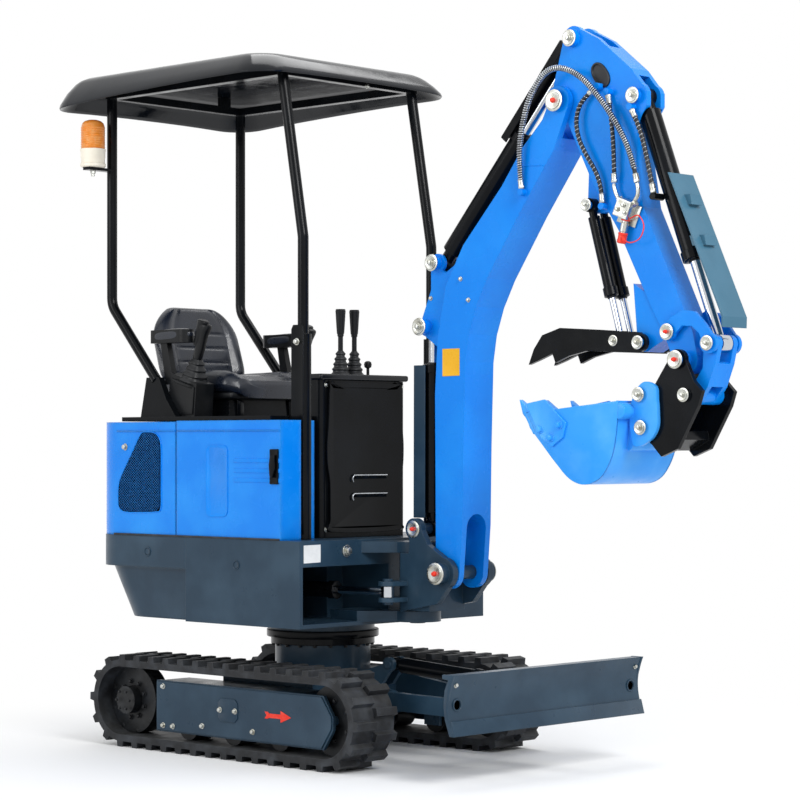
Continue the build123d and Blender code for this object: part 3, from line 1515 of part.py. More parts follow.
notch_dx = front_post_dx - post_sleeve_radius - 10
notch_y = -post_y - post_sleeve_radius - 10
with BuildPart() as right_cover:
    with BuildSketch(Plane.XY.offset(hood_low_z)):
        with BuildLine():
            Polyline(
                (slew_x + hood_seam_dx, -hood_half_width),
                (slew_x + hood_front_dx, -hood_half_width),
                (slew_x + hood_front_dx, notch_y),
                (slew_x + notch_dx, notch_y),
                (slew_x + notch_dx, right_cover_inner_y),
                (slew_x + hood_seam_dx, right_cover_inner_y),
                close=True,
            )
        make_face()
        with BuildLine():
            Polyline(
                (slew_x + hood_seam_dx - 1, -hood_half_width + hood_wall),
                (slew_x + hood_front_dx - hood_wall, -hood_half_width + hood_wall),
                (slew_x + hood_front_dx - hood_wall, notch_y - hood_wall),
                (slew_x + notch_dx - hood_wall, notch_y - hood_wall),
                (slew_x + notch_dx - hood_wall, right_cover_inner_y - hood_wall),
                (slew_x + hood_seam_dx - 1, right_cover_inner_y - hood_wall),
                close=True,
            )
        make_face(mode=Mode.SUBTRACT)
    extrude(amount=hood_high_z - hood_low_z)
right_cover.part.label = "right_cover"
export_step(right_cover.part, "parts/right_cover.step")

with BuildPart() as left_cover:
    add(hood_shell())
    add(
        box_between(
            hood_rear_dx - 10, left_cover_front_dx, door_edge_y + door_gap, hood_half_width + 1,
            hood_low_z, hood_high_z,
        ),
        mode=Mode.INTERSECT,
    )
    add(
        box_between(
            left_cover_front_dx - hood_wall, left_cover_front_dx,
            right_cover_inner_y + seat_gap, hood_half_width - hood_wall, hood_low_z, hood_high_z,
        )
    )
    for level in hinge_levels:
        add(hinge_knuckle(1, level))
        add(hinge_pin(level, hinge_pin_radius, 2 * hinge_half))
left_cover.part.label = "left_cover"
export_step(left_cover.part, "parts/left_cover.step")

with BuildPart() as engine:
    with BuildSketch(Plane.XY.offset(platform_top_z)):
        with Locations((slew_x + engine_dx, 0)):
            Rectangle(engine_size[0], engine_size[1])
    extrude(amount=engine_size[2])
    chamfer(engine.edges().group_by(Axis.Z)[-1], 12)
engine.part.label = "engine"
export_step(engine.part, "parts/engine.step")

frame_z = roof_rim_z + 14.0


def post_tube(points, radius):
    """A round tube along straight runs with bends of four radii."""
    with BuildPart() as made:
        with BuildLine() as route:
            FilletPolyline(*points, radius=4 * post_radius)
        with BuildSketch(Plane(origin=route.line @ 0, z_dir=route.line % 0)):
            Circle(radius)
        sweep()
    return made.part


def rear_post_route(hand):
    """The corners of a rear post's centre line, from its bracket up to the roof's frame."""
    y = hand * post_y
    return [
        Vector(slew_x + rear_post_foot_dx, y, rear_post_foot_z - 20),
        Vector(slew_x + rear_post_dx, y, rear_post_bend_z),
        Vector(slew_x + rear_post_dx, y, frame_z),
    ]


# Seat deck: the black plate over the engine room, with the brackets of the rear posts
deck_low_z = hood_high_z
deck_high_z = hood_high_z + seat_deck_plate
with BuildPart() as seat_deck:
    with BuildSketch(Plane.XY.offset(deck_low_z)):
        with BuildLine():
            Polyline(
                (slew_x + hood_rear_dx + 90, -360.0),
                (slew_x + hood_rear_dx + 130, -400.0),
                (slew_x + notch_dx - 10, -400.0),
                (slew_x + notch_dx - 10, right_cover_inner_y),
                (slew_x + left_cover_front_dx, right_cover_inner_y),
                (slew_x + left_cover_front_dx, 400.0),
                (slew_x + hood_rear_dx + 130, 400.0),
                (slew_x + hood_rear_dx + 90, 360.0),
                close=True,
            )
        make_face()
    extrude(amount=seat_deck_plate)
    for hand in (-1, 1):
        post_bracket = [
            place(rear_post_foot_dx - 70, deck_high_z - 1),
            place(rear_post_foot_dx + 110, deck_high_z - 1),
            place(rear_post_foot_dx + 60, deck_high_z + 60),
            place(rear_post_foot_dx + 22, rear_post_foot_z - 10),
            place(rear_post_foot_dx - 40, rear_post_foot_z - 10),
        ]
        add(plate(post_bracket, hand * post_y, 24.0))
    with BuildSketch(Plane.XY.offset(deck_high_z)):
        with Locations((slew_x + seat_dx + 10, 0)):
            Rectangle(330.0, 2 * seat_half_width - 60)
    extrude(amount=62.0, taper=4)
    for hand in (-1, 1):
        add(post_tube(rear_post_route(hand), post_radius + seat_gap), mode=Mode.SUBTRACT)
seat_deck.part.label = "seat_deck"
export_step(seat_deck.part, "parts/seat_deck.step")

# Seat: a moulded cushion and a backrest with side bolsters, as one soft shell
seat_base_z = deck_high_z + 62.0 + seat_gap
seat_side = [
    place(seat_dx - 150, seat_base_z),
    place(seat_dx + 170, seat_base_z),
    place(seat_dx + 215, seat_base_z + 34),
    place(seat_dx + 190, seat_base_z + 78),
    place(seat_dx - 60, seat_base_z + 62),
    place(seat_dx - 105, seat_base_z + 95),
    place(seat_dx - 175, seat_base_z + 315),
    place(seat_dx - 205, seat_base_z + 335),
    place(seat_dx - 250, seat_base_z + 305),
    place(seat_dx - 235, seat_base_z + 200),
    place(seat_dx - 190, seat_base_z + 40),
]
with BuildPart() as seat:
    with BuildSketch(side(0)):
        with BuildLine():
            Polyline(*seat_side, close=True)
        make_face()
        fillet(vertices(), 14)
    extrude(amount=seat_half_width, both=True)
    with BuildSketch(Plane.YZ.offset(slew_x + seat_dx - 400)):
        with BuildLine():
            Polyline(
                (-seat_half_width, seat_base_z - 5),
                (seat_half_width, seat_base_z - 5),
                (seat_half_width, seat_base_z + 170),
                (seat_half_width - 60, seat_base_z + 300),
                (seat_half_width - 110, seat_base_z + 340),
                (-seat_half_width + 110, seat_base_z + 340),
                (-seat_half_width + 60, seat_base_z + 300),
                (-seat_half_width, seat_base_z + 170),
                close=True,
            )
        make_face()
        fillet(vertices(), 30)
    extrude(amount=800, mode=Mode.INTERSECT)
seat.part.label = "seat"
export_step(seat.part, "parts/seat.step")


# Side consoles: a boot for each joystick and a raised armrest
def side_console(hand):
    """One side console: its pedestal, bellows, joystick and armrest."""
    y = hand * side_console_y
    x = slew_x + side_console_dx
    with BuildPart() as made:
        add(
            plate(
                [
                    place(side_console_dx - 60, deck_high_z + seat_gap),
                    place(side_console_dx + 75, deck_high_z + seat_gap),
                    place(side_console_dx + 85, deck_high_z + 110),
                    place(side_console_dx - 45, deck_high_z + 150),
                ],
                y, 80.0,
            )
        )
        for level in range(4):
            with BuildSketch(Plane.XY.offset(deck_high_z + 120 + 18 * level)):
                with Locations((x + 30, y)):
                    Circle(38.0 - 6 * level)
            extrude(amount=12)
            with BuildSketch(Plane.XY.offset(deck_high_z + 120 + 18 * level)):
                with Locations((x + 30, y)):
                    Circle(30.0 - 6 * level)
            extrude(amount=20)
        with BuildSketch(Plane(origin=(x + 30, y, deck_high_z + 185), z_dir=(0.35, 0, 1))):
            Circle(9.0)
        extrude(amount=70)
        with BuildSketch(Plane(origin=(x + 48, y, deck_high_z + 240), z_dir=(0.35, 0, 1))):
            Circle(16.0)
        extrude(amount=88, taper=-3)
        add(
            plate(
                [
                    place(side_console_dx - 70, deck_high_z + 110),
                    place(side_console_dx - 30, deck_high_z + 110),
                    place(side_console_dx - 68, deck_high_z + 262),
                    place(side_console_dx - 98, deck_high_z + 262),
                ],
                y + hand * 28, 22.0,
            )
        )
        with BuildSketch(Plane.XY.offset(deck_high_z + 250)):
            with Locations((x - 60, y + hand * 18)):
                SlotOverall(190.0, 62.0)
        extrude(amount=44.0)
        fillet(made.faces().sort_by(Axis.Z)[-1].edges(), 6)
    return made.part


for hand, name in ((1, "console_left"), (-1, "console_right")):
    console = side_console(hand)
    console.label = name
    export_step(console, "parts/" + name + ".step")

# Front console: a black panel with a rolled top, and the travel levers behind it
with BuildPart() as front_console:
    add(
        box_between(
            console_dx - console_depth / 2, console_dx + console_depth / 2,
            -console_half_width, console_half_width,
            platform_top_z + seat_gap, console_top_z,
        )
    )
    fillet(front_console.edges().filter_by(Axis.Z), 22)
    fillet(front_console.faces().sort_by(Axis.Z)[-1].edges(), 12)
    groove_x = slew_x + console_dx + console_depth / 2
    for groove_z in (840.0, 900.0):
        with BuildSketch(Plane.YZ.offset(groove_x - 4)):
            with Locations((20.0, groove_z)):
                SlotOverall(190.0, 16.0)
        extrude(amount=10, mode=Mode.SUBTRACT)
front_console.part.label = "front_console"
export_step(front_console.part, "parts/front_console.step")

with BuildPart() as travel_levers:
    for hand in (-1, 1):
        lever_y = -40.0 + hand * 32.0
        lever_x = slew_x + console_dx - 6
        for level in range(4):
            with BuildSketch(Plane.XY.offset(console_top_z + seat_gap + 18 * level)):
                with Locations((lever_x, lever_y)):
                    Circle(26.0 - 4 * level)
            extrude(amount=18, taper=8)
        with BuildSketch(Plane.XY.offset(console_top_z + 50)):
            with Locations((lever_x, lever_y)):
                Circle(7.0)
        extrude(amount=130)
        with BuildSketch(Plane.XY.offset(console_top_z + 150)):
            with Locations((lever_x, lever_y)):
                Circle(12.0)
        extrude(amount=70, taper=-3)
travel_levers.part.label = "travel_levers"
export_step(travel_levers.part, "parts/travel_levers.step")


# Canopy: four bent posts under a pressed roof with turned-down rims
with BuildPart() as canopy_frame:
    for hand in (-1, 1):
        y = hand * post_y
        add(
            post_tube(
                [
                    Vector(slew_x + front_post_dx, y, platform_top_z + seat_gap),
                    Vector(slew_x + front_post_dx, y, front_post_bend_z),
                    Vector(slew_x + front_post_top_dx, y, frame_z),
                ],
                post_radius,
            )
        )
        with BuildSketch(Plane.XY.offset(platform_top_z + seat_gap)):
            with Locations((slew_x + front_post_dx, y)):
                Circle(post_sleeve_radius)
        extrude(amount=post_sleeve_top_z - platform_top_z)
        add(
            post_tube(rear_post_route(hand), post_radius)
        )
        add(
            box_between(
                rear_post_dx - 16, front_post_top_dx + 14, y - 16, y + 16, frame_z - 12, frame_z + 14,
            )
        )
    for beam_dx, inward in ((rear_post_dx, 1), (front_post_top_dx, -1)):
        add(
            box_between(beam_dx - 14, beam_dx + 14, -post_y, post_y, frame_z - 12, frame_z + 14)
        )
        for hand in (-1, 1):
            pad = sorted((hand * (post_y - 60), hand * (post_y - 110)))
            pad_dx = sorted((beam_dx, beam_dx + inward * 14))
            add(
                box_between(
                    pad_dx[0], pad_dx[1], pad[0], pad[1],
                    frame_z, roof_top_z - roof_sheet - seat_gap,
                )
            )
    add(
        box_between(
            rear_post_dx - 16, rear_post_dx + 16, -beacon_out_y - 30, -post_y,
            beacon_low_z - 10, beacon_low_z - seat_gap,
        )
    )
canopy_frame.part.label = "canopy_frame"
export_step(canopy_frame.part, "parts/canopy_frame.step")

roof_rear_dx = -rear_reach
roof_middle = (roof_front_dx + roof_rear_dx) / 2
roof_length = roof_front_dx - roof_rear_dx


def roof_form(inset, low_z, high_z):
    """The roof's pressed form, drawn that far inside its skin."""
    with BuildPart() as made:
        for z, slope in ((low_z, 0.0), (high_z, roof_slope)):
            with BuildSketch(Plane.XY.offset(z)):
                with Locations((slew_x + roof_middle, 0)):
                    RectangleRounded(
                        roof_length - 2 * (inset + slope),
                        2 * (roof_half_width - inset - slope),
                        roof_corner,
                    )
        loft()
    return made.part


with BuildPart() as canopy_roof:
    add(roof_form(0, roof_rim_z - roof_rim, roof_top_z))
    add(roof_form(roof_sheet, roof_rim_z - roof_rim, roof_top_z - roof_sheet), mode=Mode.SUBTRACT)
canopy_roof.part.label = "canopy_roof"
export_step(canopy_roof.part, "parts/canopy_roof.step")

with BuildPart() as beacon:
    with BuildSketch(Plane.XY.offset(beacon_low_z)):
        with Locations((slew_x + rear_post_dx, -beacon_out_y)):
            Circle(beacon_radius)
    extrude(amount=beacon_base_height)
    with BuildSketch(Plane.XY.offset(beacon_low_z + beacon_base_height)):
        with Locations((slew_x + rear_post_dx, -beacon_out_y)):
            Circle(beacon_radius - 4)
    extrude(amount=beacon_dome_height)
    fillet(beacon.edges().sort_by(Axis.Z)[-1], 26)
beacon.part.label = "beacon"
export_step(beacon.part, "parts/beacon.step")
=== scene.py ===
"""Dresses a one-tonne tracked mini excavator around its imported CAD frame.

Every length is in metres, in the frame's own axes: +X forwards, +Y to the operator's left, +Z up.
"""

from __future__ import annotations

import json
import logging
import math
from dataclasses import dataclass
from enum import Enum
from typing import Any, Callable, Iterable, Sequence

import bmesh
import bpy
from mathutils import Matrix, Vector

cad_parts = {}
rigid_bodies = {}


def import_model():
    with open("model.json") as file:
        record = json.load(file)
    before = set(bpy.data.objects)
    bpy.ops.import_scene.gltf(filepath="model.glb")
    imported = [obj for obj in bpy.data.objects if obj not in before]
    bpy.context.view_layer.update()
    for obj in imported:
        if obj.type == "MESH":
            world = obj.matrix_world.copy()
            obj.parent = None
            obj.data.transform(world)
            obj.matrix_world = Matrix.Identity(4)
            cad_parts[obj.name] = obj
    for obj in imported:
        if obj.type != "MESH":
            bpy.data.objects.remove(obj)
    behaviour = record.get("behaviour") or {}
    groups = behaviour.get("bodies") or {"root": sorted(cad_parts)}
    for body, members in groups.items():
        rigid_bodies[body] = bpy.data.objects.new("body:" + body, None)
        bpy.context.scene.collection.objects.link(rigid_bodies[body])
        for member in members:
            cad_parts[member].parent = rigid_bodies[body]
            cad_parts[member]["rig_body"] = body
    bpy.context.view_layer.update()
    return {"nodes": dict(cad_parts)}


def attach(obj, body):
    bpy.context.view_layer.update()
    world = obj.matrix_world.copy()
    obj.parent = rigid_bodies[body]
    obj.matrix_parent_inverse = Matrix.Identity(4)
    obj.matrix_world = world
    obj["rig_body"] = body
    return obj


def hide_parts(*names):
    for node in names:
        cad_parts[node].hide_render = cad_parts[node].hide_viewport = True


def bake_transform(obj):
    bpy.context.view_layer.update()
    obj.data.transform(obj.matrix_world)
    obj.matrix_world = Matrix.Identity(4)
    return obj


log = logging.getLogger("excavator")

MM = 0.001
SLEW_X = -0.4035
FLOOR_SIZE = 40.0
COAT_ROUGHNESS = 0.06
SMOOTH_ANGLE = math.radians(35)
COIL_STEPS = 12

Piece = bpy.types.Object
Point = tuple[float, float, float]
Chooser = Callable[[Vector, Vector], bool]


def spot(dx: float, y: float, z: float) -> Vector:
    """A point given in millimetres, its x measured forwards from the slew centre."""
    return Vector((SLEW_X + dx * MM, y * MM, z * MM))


def linear(hex_colour: str) -> tuple[float, float, float, float]:
    """Turns an sRGB hex colour into Blender's linear colour.

    Args:
        hex_colour: Six hex digits, with or without a leading #.

    Returns:
        Red, green, blue and an alpha of 1.
    """
    digits = hex_colour.lstrip("#")
    parts = [int(digits[i : i + 2], 16) / 255 for i in (0, 2, 4)]
    red, green, blue = [p / 12.92 if p <= 0.04045 else ((p + 0.055) / 1.055) ** 2.4 for p in parts]
    return (red, green, blue, 1.0)


def add_node(
    tree: bpy.types.NodeTree,
    kind: str,
    settings: dict[str, Any] | None = None,
    inputs: dict[str | int, Any] | None = None,
) -> bpy.types.Node:
    """Adds a shader node.

    Args:
        tree: The material's node tree.
        kind: The node's type name.
        settings: The node's own properties.
        inputs: Values for its sockets, or the sockets that feed them.

    Returns:
        The new node.
    """
    node = tree.nodes.new(kind)
    for key, value in (settings or {}).items():
        setattr(node, key, value)
    for key, value in (inputs or {}).items():
        if isinstance(value, bpy.types.NodeSocket):
            tree.links.new(value, node.inputs[key])
        else:
            node.inputs[key].default_value = value
    return node


class Pattern(Enum):
    """The texture that a grain is drawn with."""

    SPECKLE = "ShaderNodeTexNoise"
    CELLS = "ShaderNodeTexVoronoi"


@dataclass(frozen=True)
class Grain:
    """A surface's fine relief: the size of one feature and its height in millimetres, and its pattern."""

    size: float
    height: float
    pattern: Pattern = Pattern.SPECKLE


@dataclass(frozen=True)
class Finish:
    """One finish of the machine, from what the real surface is made of.

    The colour drifts to its worn tone over patches, dust lies on what faces up, and the grain is a bump.
    """

    name: str
    slot: str
    colour: str
    worn: str
    roughness: float
    patch: float = 0.16
    wear: float = 0.35
    spread: float = 0.08
    metallic: float = 0.0
    specular: float = 0.5
    edge: float = 1.2 * MM
    coat: float = 0.0
    dust: float = 0.0
    dust_colour: str = "#8d8b83"
    transmission: float = 0.0
    grain: Grain | None = None

    def material(self) -> bpy.types.Material:
        """Returns this finish's material, made on its first use."""
        known = bpy.data.materials.get(self.name)
        if known is not None:
            return known
        made = bpy.data.materials.new(self.name)
        made.use_nodes = True
        tree = made.node_tree
        shader = tree.nodes["Principled BSDF"]
        shader.inputs["Metallic"].default_value = self.metallic
        shader.inputs["Specular IOR Level"].default_value = self.specular
        shader.inputs["Coat Weight"].default_value = self.coat
        shader.inputs["Coat Roughness"].default_value = COAT_ROUGHNESS
        shader.inputs["Transmission Weight"].default_value = self.transmission
        where = add_node(tree, "ShaderNodeTexCoord").outputs["Object"]
        rounded = add_node(tree, "ShaderNodeBevel", {"samples": 4}, {"Radius": self.edge}).outputs["Normal"]
        tree.links.new(self.tone(tree, where, rounded), shader.inputs["Base Color"])
        tree.links.new(self.sheen(tree, where), shader.inputs["Roughness"])
        tree.links.new(self.relief(tree, where, rounded), shader.inputs["Normal"])
        return made

    def tone(
        self, tree: bpy.types.NodeTree, where: bpy.types.NodeSocket, rounded: bpy.types.NodeSocket
    ) -> bpy.types.NodeSocket:
        """The surface's colour, with its worn patches, rubbed edges and dust; on the hood the rubbed edges are
        also a painted highlight along its wide folds.

        Args:
            tree: The material's node tree.
            where: The object's own coordinates.
            rounded: The normal over rounded edges.

        Returns:
            The socket that holds the colour.
        """
        cloud = add_node(
            tree, "ShaderNodeTexNoise", inputs={"Vector": where, "Scale": 1 / self.patch, "Detail": 5.0}
        )
        amount = add_node(
            tree, "ShaderNodeMapRange",
            inputs={"Value": cloud.outputs["Fac"], "From Min": 0.42, "From Max": 0.72, "To Max": self.wear},
        )
        flat = add_node(tree, "ShaderNodeNewGeometry").outputs["Normal"]
        bend = add_node(tree, "ShaderNodeVectorMath", {"operation": "DOT_PRODUCT"}, {0: rounded, 1: flat})
        # Rubbed edges drift to the worn tone: wear, and on the hood's wide folds also a painted highlight
        rubbed_and_highlit = add_node(
            tree, "ShaderNodeMapRange",
            inputs={"Value": bend.outputs["Value"], "From Min": 0.985, "From Max": 0.88, "To Max": self.wear},
        )
        either = add_node(
            tree, "ShaderNodeMath",
            {"operation": "MAXIMUM"},
            {0: amount.outputs["Result"], 1: rubbed_and_highlit.outputs["Result"]},
        )
        mix = add_node(
            tree, "ShaderNodeMix",
            {"data_type": "RGBA"},
            {"Factor": either.outputs["Value"], 6: linear(self.colour), 7: linear(self.worn)},
        )
        if self.dust <= 0:
            return mix.outputs[2]
        split = add_node(tree, "ShaderNodeSeparateXYZ", inputs={"Vector": flat})
        fine = add_node(tree, "ShaderNodeTexNoise", inputs={"Vector": where, "Scale": 45.0, "Detail": 6.0})
        facing = add_node(
            tree, "ShaderNodeMapRange",
            inputs={"Value": split.outputs["Z"], "From Min": -0.2, "From Max": 1.0, "To Max": self.dust},
        )
        lying = add_node(
            tree, "ShaderNodeMath",
            {"operation": "MULTIPLY"},
            {0: facing.outputs["Result"], 1: fine.outputs["Fac"]},
        )
        dusty = add_node(
            tree, "ShaderNodeMix",
            {"data_type": "RGBA"},
            {"Factor": lying.outputs["Value"], 6: mix.outputs[2], 7: linear(self.dust_colour)},
        )
        return dusty.outputs[2]

    def sheen(self, tree: bpy.types.NodeTree, where: bpy.types.NodeSocket) -> bpy.types.NodeSocket:
        """The roughness, which drifts a little about its typical value.

        Args:
            tree: The material's node tree.
            where: The object's own coordinates.

        Returns:
            The socket that holds the roughness.
        """
        smear = add_node(
            tree, "ShaderNodeTexNoise", inputs={"Vector": where, "Scale": 2.2 / self.patch, "Detail": 3.0}
        )
        drift = add_node(
            tree, "ShaderNodeMapRange",
            inputs={
                "Value": smear.outputs["Fac"],
                "From Min": 0.3,
                "From Max": 0.7,
                "To Min": max(self.roughness - self.spread, 0.03),
                "To Max": self.roughness + self.spread,
            },
        )
        return drift.outputs["Result"]

    def relief(
        self, tree: bpy.types.NodeTree, where: bpy.types.NodeSocket, rounded: bpy.types.NodeSocket
    ) -> bpy.types.NodeSocket:
        """The grain as a bump at its real size, over edges that are a little round.

        Args:
            tree: The material's node tree.
            where: The object's own coordinates.
            rounded: The normal over rounded edges.

        Returns:
            The socket that holds the normal.
        """
        if self.grain is None:
            return rounded
        texture = add_node(tree, self.grain.pattern.value,
                           inputs={"Vector": where, "Scale": 1 / (self.grain.size * MM)})
        bump = add_node(
            tree, "ShaderNodeBump",
            inputs={"Height": texture.outputs[0], "Distance": self.grain.height * MM, "Strength": 1.0,
                    "Normal": rounded},
        )
        return bump.outputs["Normal"]


# Sprayed alkyd enamel on welded steel: wet gloss with a faint orange peel, paler where rubbed
AZURE_ENAMEL = Finish(
    "azure_enamel", "blue_paint", "#007fe6", "#189af8", 0.26, specular=0.16, edge=3 * MM, coat=0.12,
    wear=0.35,
    dust=0.015, grain=Grain(9, 0.12),
)
# The same enamel on the pressed hood, whose folds have a wide, soft radius; its paler worn tone over that wide
# edge is partly rubbed wear and partly a painted highlight along the folds
HOOD_ENAMEL = Finish(
    "pressed_azure_enamel", "blue_paint", "#007fe6", "#30a6fb", 0.24, specular=0.2, edge=15 * MM, coat=0.15,
    wear=0.35,
    dust=0.015, grain=Grain(9, 0.12),
)
# The same enamel with painted shade for the grille: darker and duller, for the shadow that it lies in
SHADED_AZURE = Finish(
    "shaded_azure_enamel", "blue_paint", "#0b5fae", "#2a8de0", 0.4, specular=0.3, wear=0.7, patch=0.02,
    grain=Grain(3, 0.1),
)
# The same enamel on the bucket, scoured by soil, its base tone painted paler for the brighter light that falls
# on it
SCOURED_LIT_ENAMEL = Finish(
    "scoured_lit_azure_enamel", "blue_paint", "#2a99f6", "#62b6fc", 0.34, specular=0.2, edge=2 * MM, coat=0.1,
    wear=0.55, patch=0.12, dust=0.04, grain=Grain(5, 0.15),
)
# Slate enamel over castings and thick plate: duller, with a film of grey dust
SLATE_ENAMEL = Finish(
    "slate_enamel", "slate_paint", "#1f3648", "#3f586b", 0.34, specular=0.2, edge=3.5 * MM, coat=0.12,
    wear=0.4,
    dust=0.05, dust_colour="#7a8288", grain=Grain(6, 0.2),
)
# The same slate on the cast counterweight, whose edges are generously round
CAST_SLATE_ENAMEL = Finish(
    "cast_slate_enamel", "slate_paint", "#1f3648", "#3f586b", 0.36, specular=0.22, edge=14 * MM, coat=0.12,
    wear=0.4,
    dust=0.05, dust_colour="#7a8288", grain=Grain(6, 0.3),
)
# A thinner, paler grey coat on folded sheet
PALE_SLATE_ENAMEL = Finish(
    "pale_slate_enamel", "slate_paint", "#3c6981", "#558098", 0.36, specular=0.2, edge=2.5 * MM, coat=0.1,
    wear=0.4,
    grain=Grain(8, 0.1),
)
# Powder-coated black steel: deep gloss that mirrors the studio only at a glance
BLACK_ENAMEL = Finish(
    "black_powder_coat", "black_paint", "#07090c", "#15191f", 0.2, specular=0.13, edge=3 * MM, wear=0.4,
    dust=0.004, grain=Grain(7, 0.1),
)
# Thermoformed ABS of the roof: a deep black with a slow, wet gloss
GLOSS_ABS = Finish(
    "thermoformed_abs", "black_paint", "#0a0e14", "#161c25", 0.14, specular=0.3, edge=3 * MM, wear=0.3,
    grain=Grain(20, 0.15),
)
# Painted shade: a matt black that stands for the unlit space behind an opening and swallows light
PAINTED_SHADE = Finish(
    "painted_shade_backing", "black_paint", "#04070b", "#0d1a2a", 0.9, specular=0.05, wear=0.6, patch=0.03,
    grain=Grain(2, 0.1),
)
# Vulcanised track rubber: matt, grey where soil has dried on it
TRACK_RUBBER = Finish(
    "vulcanised_rubber", "rubber", "#17191d", "#4a4f56", 0.6, specular=0.3, edge=3 * MM, patch=0.06, wear=0.5,
    dust=0.14, grain=Grain(3, 0.4),
)
# Sand-cast steel, painted thinly black: its skin is rough under the paint
CAST_STEEL = Finish(
    "sand_cast_steel", "cast_steel", "#0e1013", "#2d3136", 0.4, specular=0.3, patch=0.06, wear=0.5, dust=0.05,
    grain=Grain(2.2, 0.3),
)
# Hard chrome, ground round the rod: a mirror with fine rings
GROUND_CHROME = Finish(
    "ground_chrome", "chrome_rod", "#c9cdd2", "#aeb4bb", 0.12, metallic=1.0, spread=0.04, patch=0.03,
    grain=Grain(0.8, 0.02),
)
# Zinc-plated fittings with a yellow passivation that comes and goes
PLATED_ZINC = Finish(
    "passivated_zinc", "chrome_rod", "#c8cac6", "#a9a48f", 0.3, metallic=1.0, patch=0.02, wear=0.7,
    edge=0.6 * MM, grain=Grain(1.2, 0.05),
)
# Injection-moulded ABS with a spark-eroded grain
MOULDED_ABS = Finish(
    "moulded_abs", "black_plastic", "#090b0e", "#191d22", 0.36, specular=0.24, wear=0.5, dust=0.01,
    grain=Grain(1.6, 0.1, Pattern.CELLS),
)
# Soft moulded rubber of boots and grips
BOOT_RUBBER = Finish(
    "moulded_boot_rubber", "black_plastic", "#0f1114", "#26292d", 0.42, specular=0.35, wear=0.5,
    grain=Grain(1.5, 0.1),
)
# Calendered vinyl over foam: leather-like cells that catch the light
SEAT_VINYL = Finish(
    "calendered_vinyl", "seat_vinyl", "#101724", "#242d3c", 0.3, specular=0.5, patch=0.1, wear=0.5, coat=0.15,
    grain=Grain(3, 0.18, Pattern.CELLS),
)
# Spiral-wrapped hydraulic hose: black synthetic rubber with its wrap's fine ridges
HOSE_RUBBER = Finish(
    "hose_rubber", "rubber", "#0d0e10", "#33363a", 0.42, specular=0.35, patch=0.012, wear=0.9,
    grain=Grain(2.4, 0.4, Pattern.CELLS),
)
# Coiled galvanised wire of the hose guard
SPRING_WIRE = Finish(
    "galvanised_spring_wire", "chrome_rod", "#c3c7cb", "#8d9299", 0.3, metallic=1.0, patch=0.03, wear=0.8,
    grain=Grain(1, 0.05),
)
# Tinted polycarbonate lens of the beacon
AMBER_LENS = Finish(
    "amber_polycarbonate", "amber_plastic", "#f7921e", "#ffc27a", 0.14, transmission=0.3, patch=0.02,
    wear=0.6,
    grain=Grain(3, 0.05),
)
# Cream ABS housing of the beacon
CREAM_ABS = Finish(
    "cream_abs", "amber_plastic", "#efe9da", "#d9cfb8", 0.35, patch=0.05,
    grain=Grain(2, 0.05),
)
# Soft red PVC of the dust cap, the grease caps and the arrow
RED_PVC = Finish(
    "red_pvc", "blue_paint", "#e4301f", "#f2604c", 0.38, specular=0.3, patch=0.02, wear=0.5,
    grain=Grain(2, 0.1),
)
# Blank adhesive vinyl, yellow
YELLOW_FOIL = Finish(
    "yellow_vinyl_foil", "blue_paint", "#e8ae1c", "#d89d10", 0.3, specular=0.3, patch=0.03,
    grain=Grain(4, 0.05),
)
# Blank adhesive vinyl, white
WHITE_FOIL = Finish(
    "white_vinyl_foil", "blue_paint", "#e4e6e6", "#d2d5d6", 0.3, specular=0.3, patch=0.03,
    grain=Grain(4, 0.05),
)


def deselect_all() -> None:
    """Leaves nothing selected, in object mode."""
    if bpy.context.object is not None and bpy.context.object.mode != "OBJECT":
        bpy.ops.object.mode_set(mode="OBJECT")
    bpy.ops.object.select_all(action="DESELECT")


def pick(piece: Piece) -> None:
    """Makes a piece the only selected one, and the active one."""
    deselect_all()
    piece.select_set(True)
    bpy.context.view_layer.objects.active = piece


def rename(piece: Piece, name: str) -> Piece:
    """Gives a piece and its mesh their name."""
    piece.name = name
    piece.data.name = name
    return piece


def settle(piece: Piece) -> Piece:
    """Puts a piece's place into its mesh, so that its object sits at the origin."""
    pick(piece)
    bpy.ops.object.transform_apply(location=True, rotation=True, scale=True)
    return piece


def block(name: str, low: Sequence[float], high: Sequence[float]) -> Piece:
    """A box between two corners.

    Args:
        name: The new piece's name.
        low: Its lowest corner.
        high: Its highest corner.

    Returns:
        The box, ready to be shaped.
    """
    deselect_all()
    middle = [(a + b) / 2 for a, b in zip(low, high)]
    size = [b - a for a, b in zip(low, high)]
    bpy.ops.mesh.primitive_cube_add(size=1, location=middle, scale=size)
    return settle(rename(bpy.context.object, name))


def drum(
    name: str, start: Sequence[float], end: Sequence[float], radius: float, sides: int = 32,
    tip: float | None = None
) -> Piece:
    """A round bar between two points, or a cone where its tip's radius is given.

    Args:
        name: The new piece's name.
        start: The middle of its first end.
        end: The middle of its other end.
        radius: The first end's radius.
        sides: How many sides it is made of.
        tip: The other end's radius.

    Returns:
        The bar, ready to be shaped.
    """
    deselect_all()
    first, last = Vector(start), Vector(end)
    way = last - first
    turn = way.to_track_quat("Z", "Y").to_euler()
    bpy.ops.mesh.primitive_cone_add(
        vertices=sides,
        radius1=radius,
        radius2=radius if tip is None else tip,
        depth=way.length,
        end_fill_type="NGON",
        location=(first + last) / 2,
        rotation=turn,
    )
    return settle(rename(bpy.context.object, name))


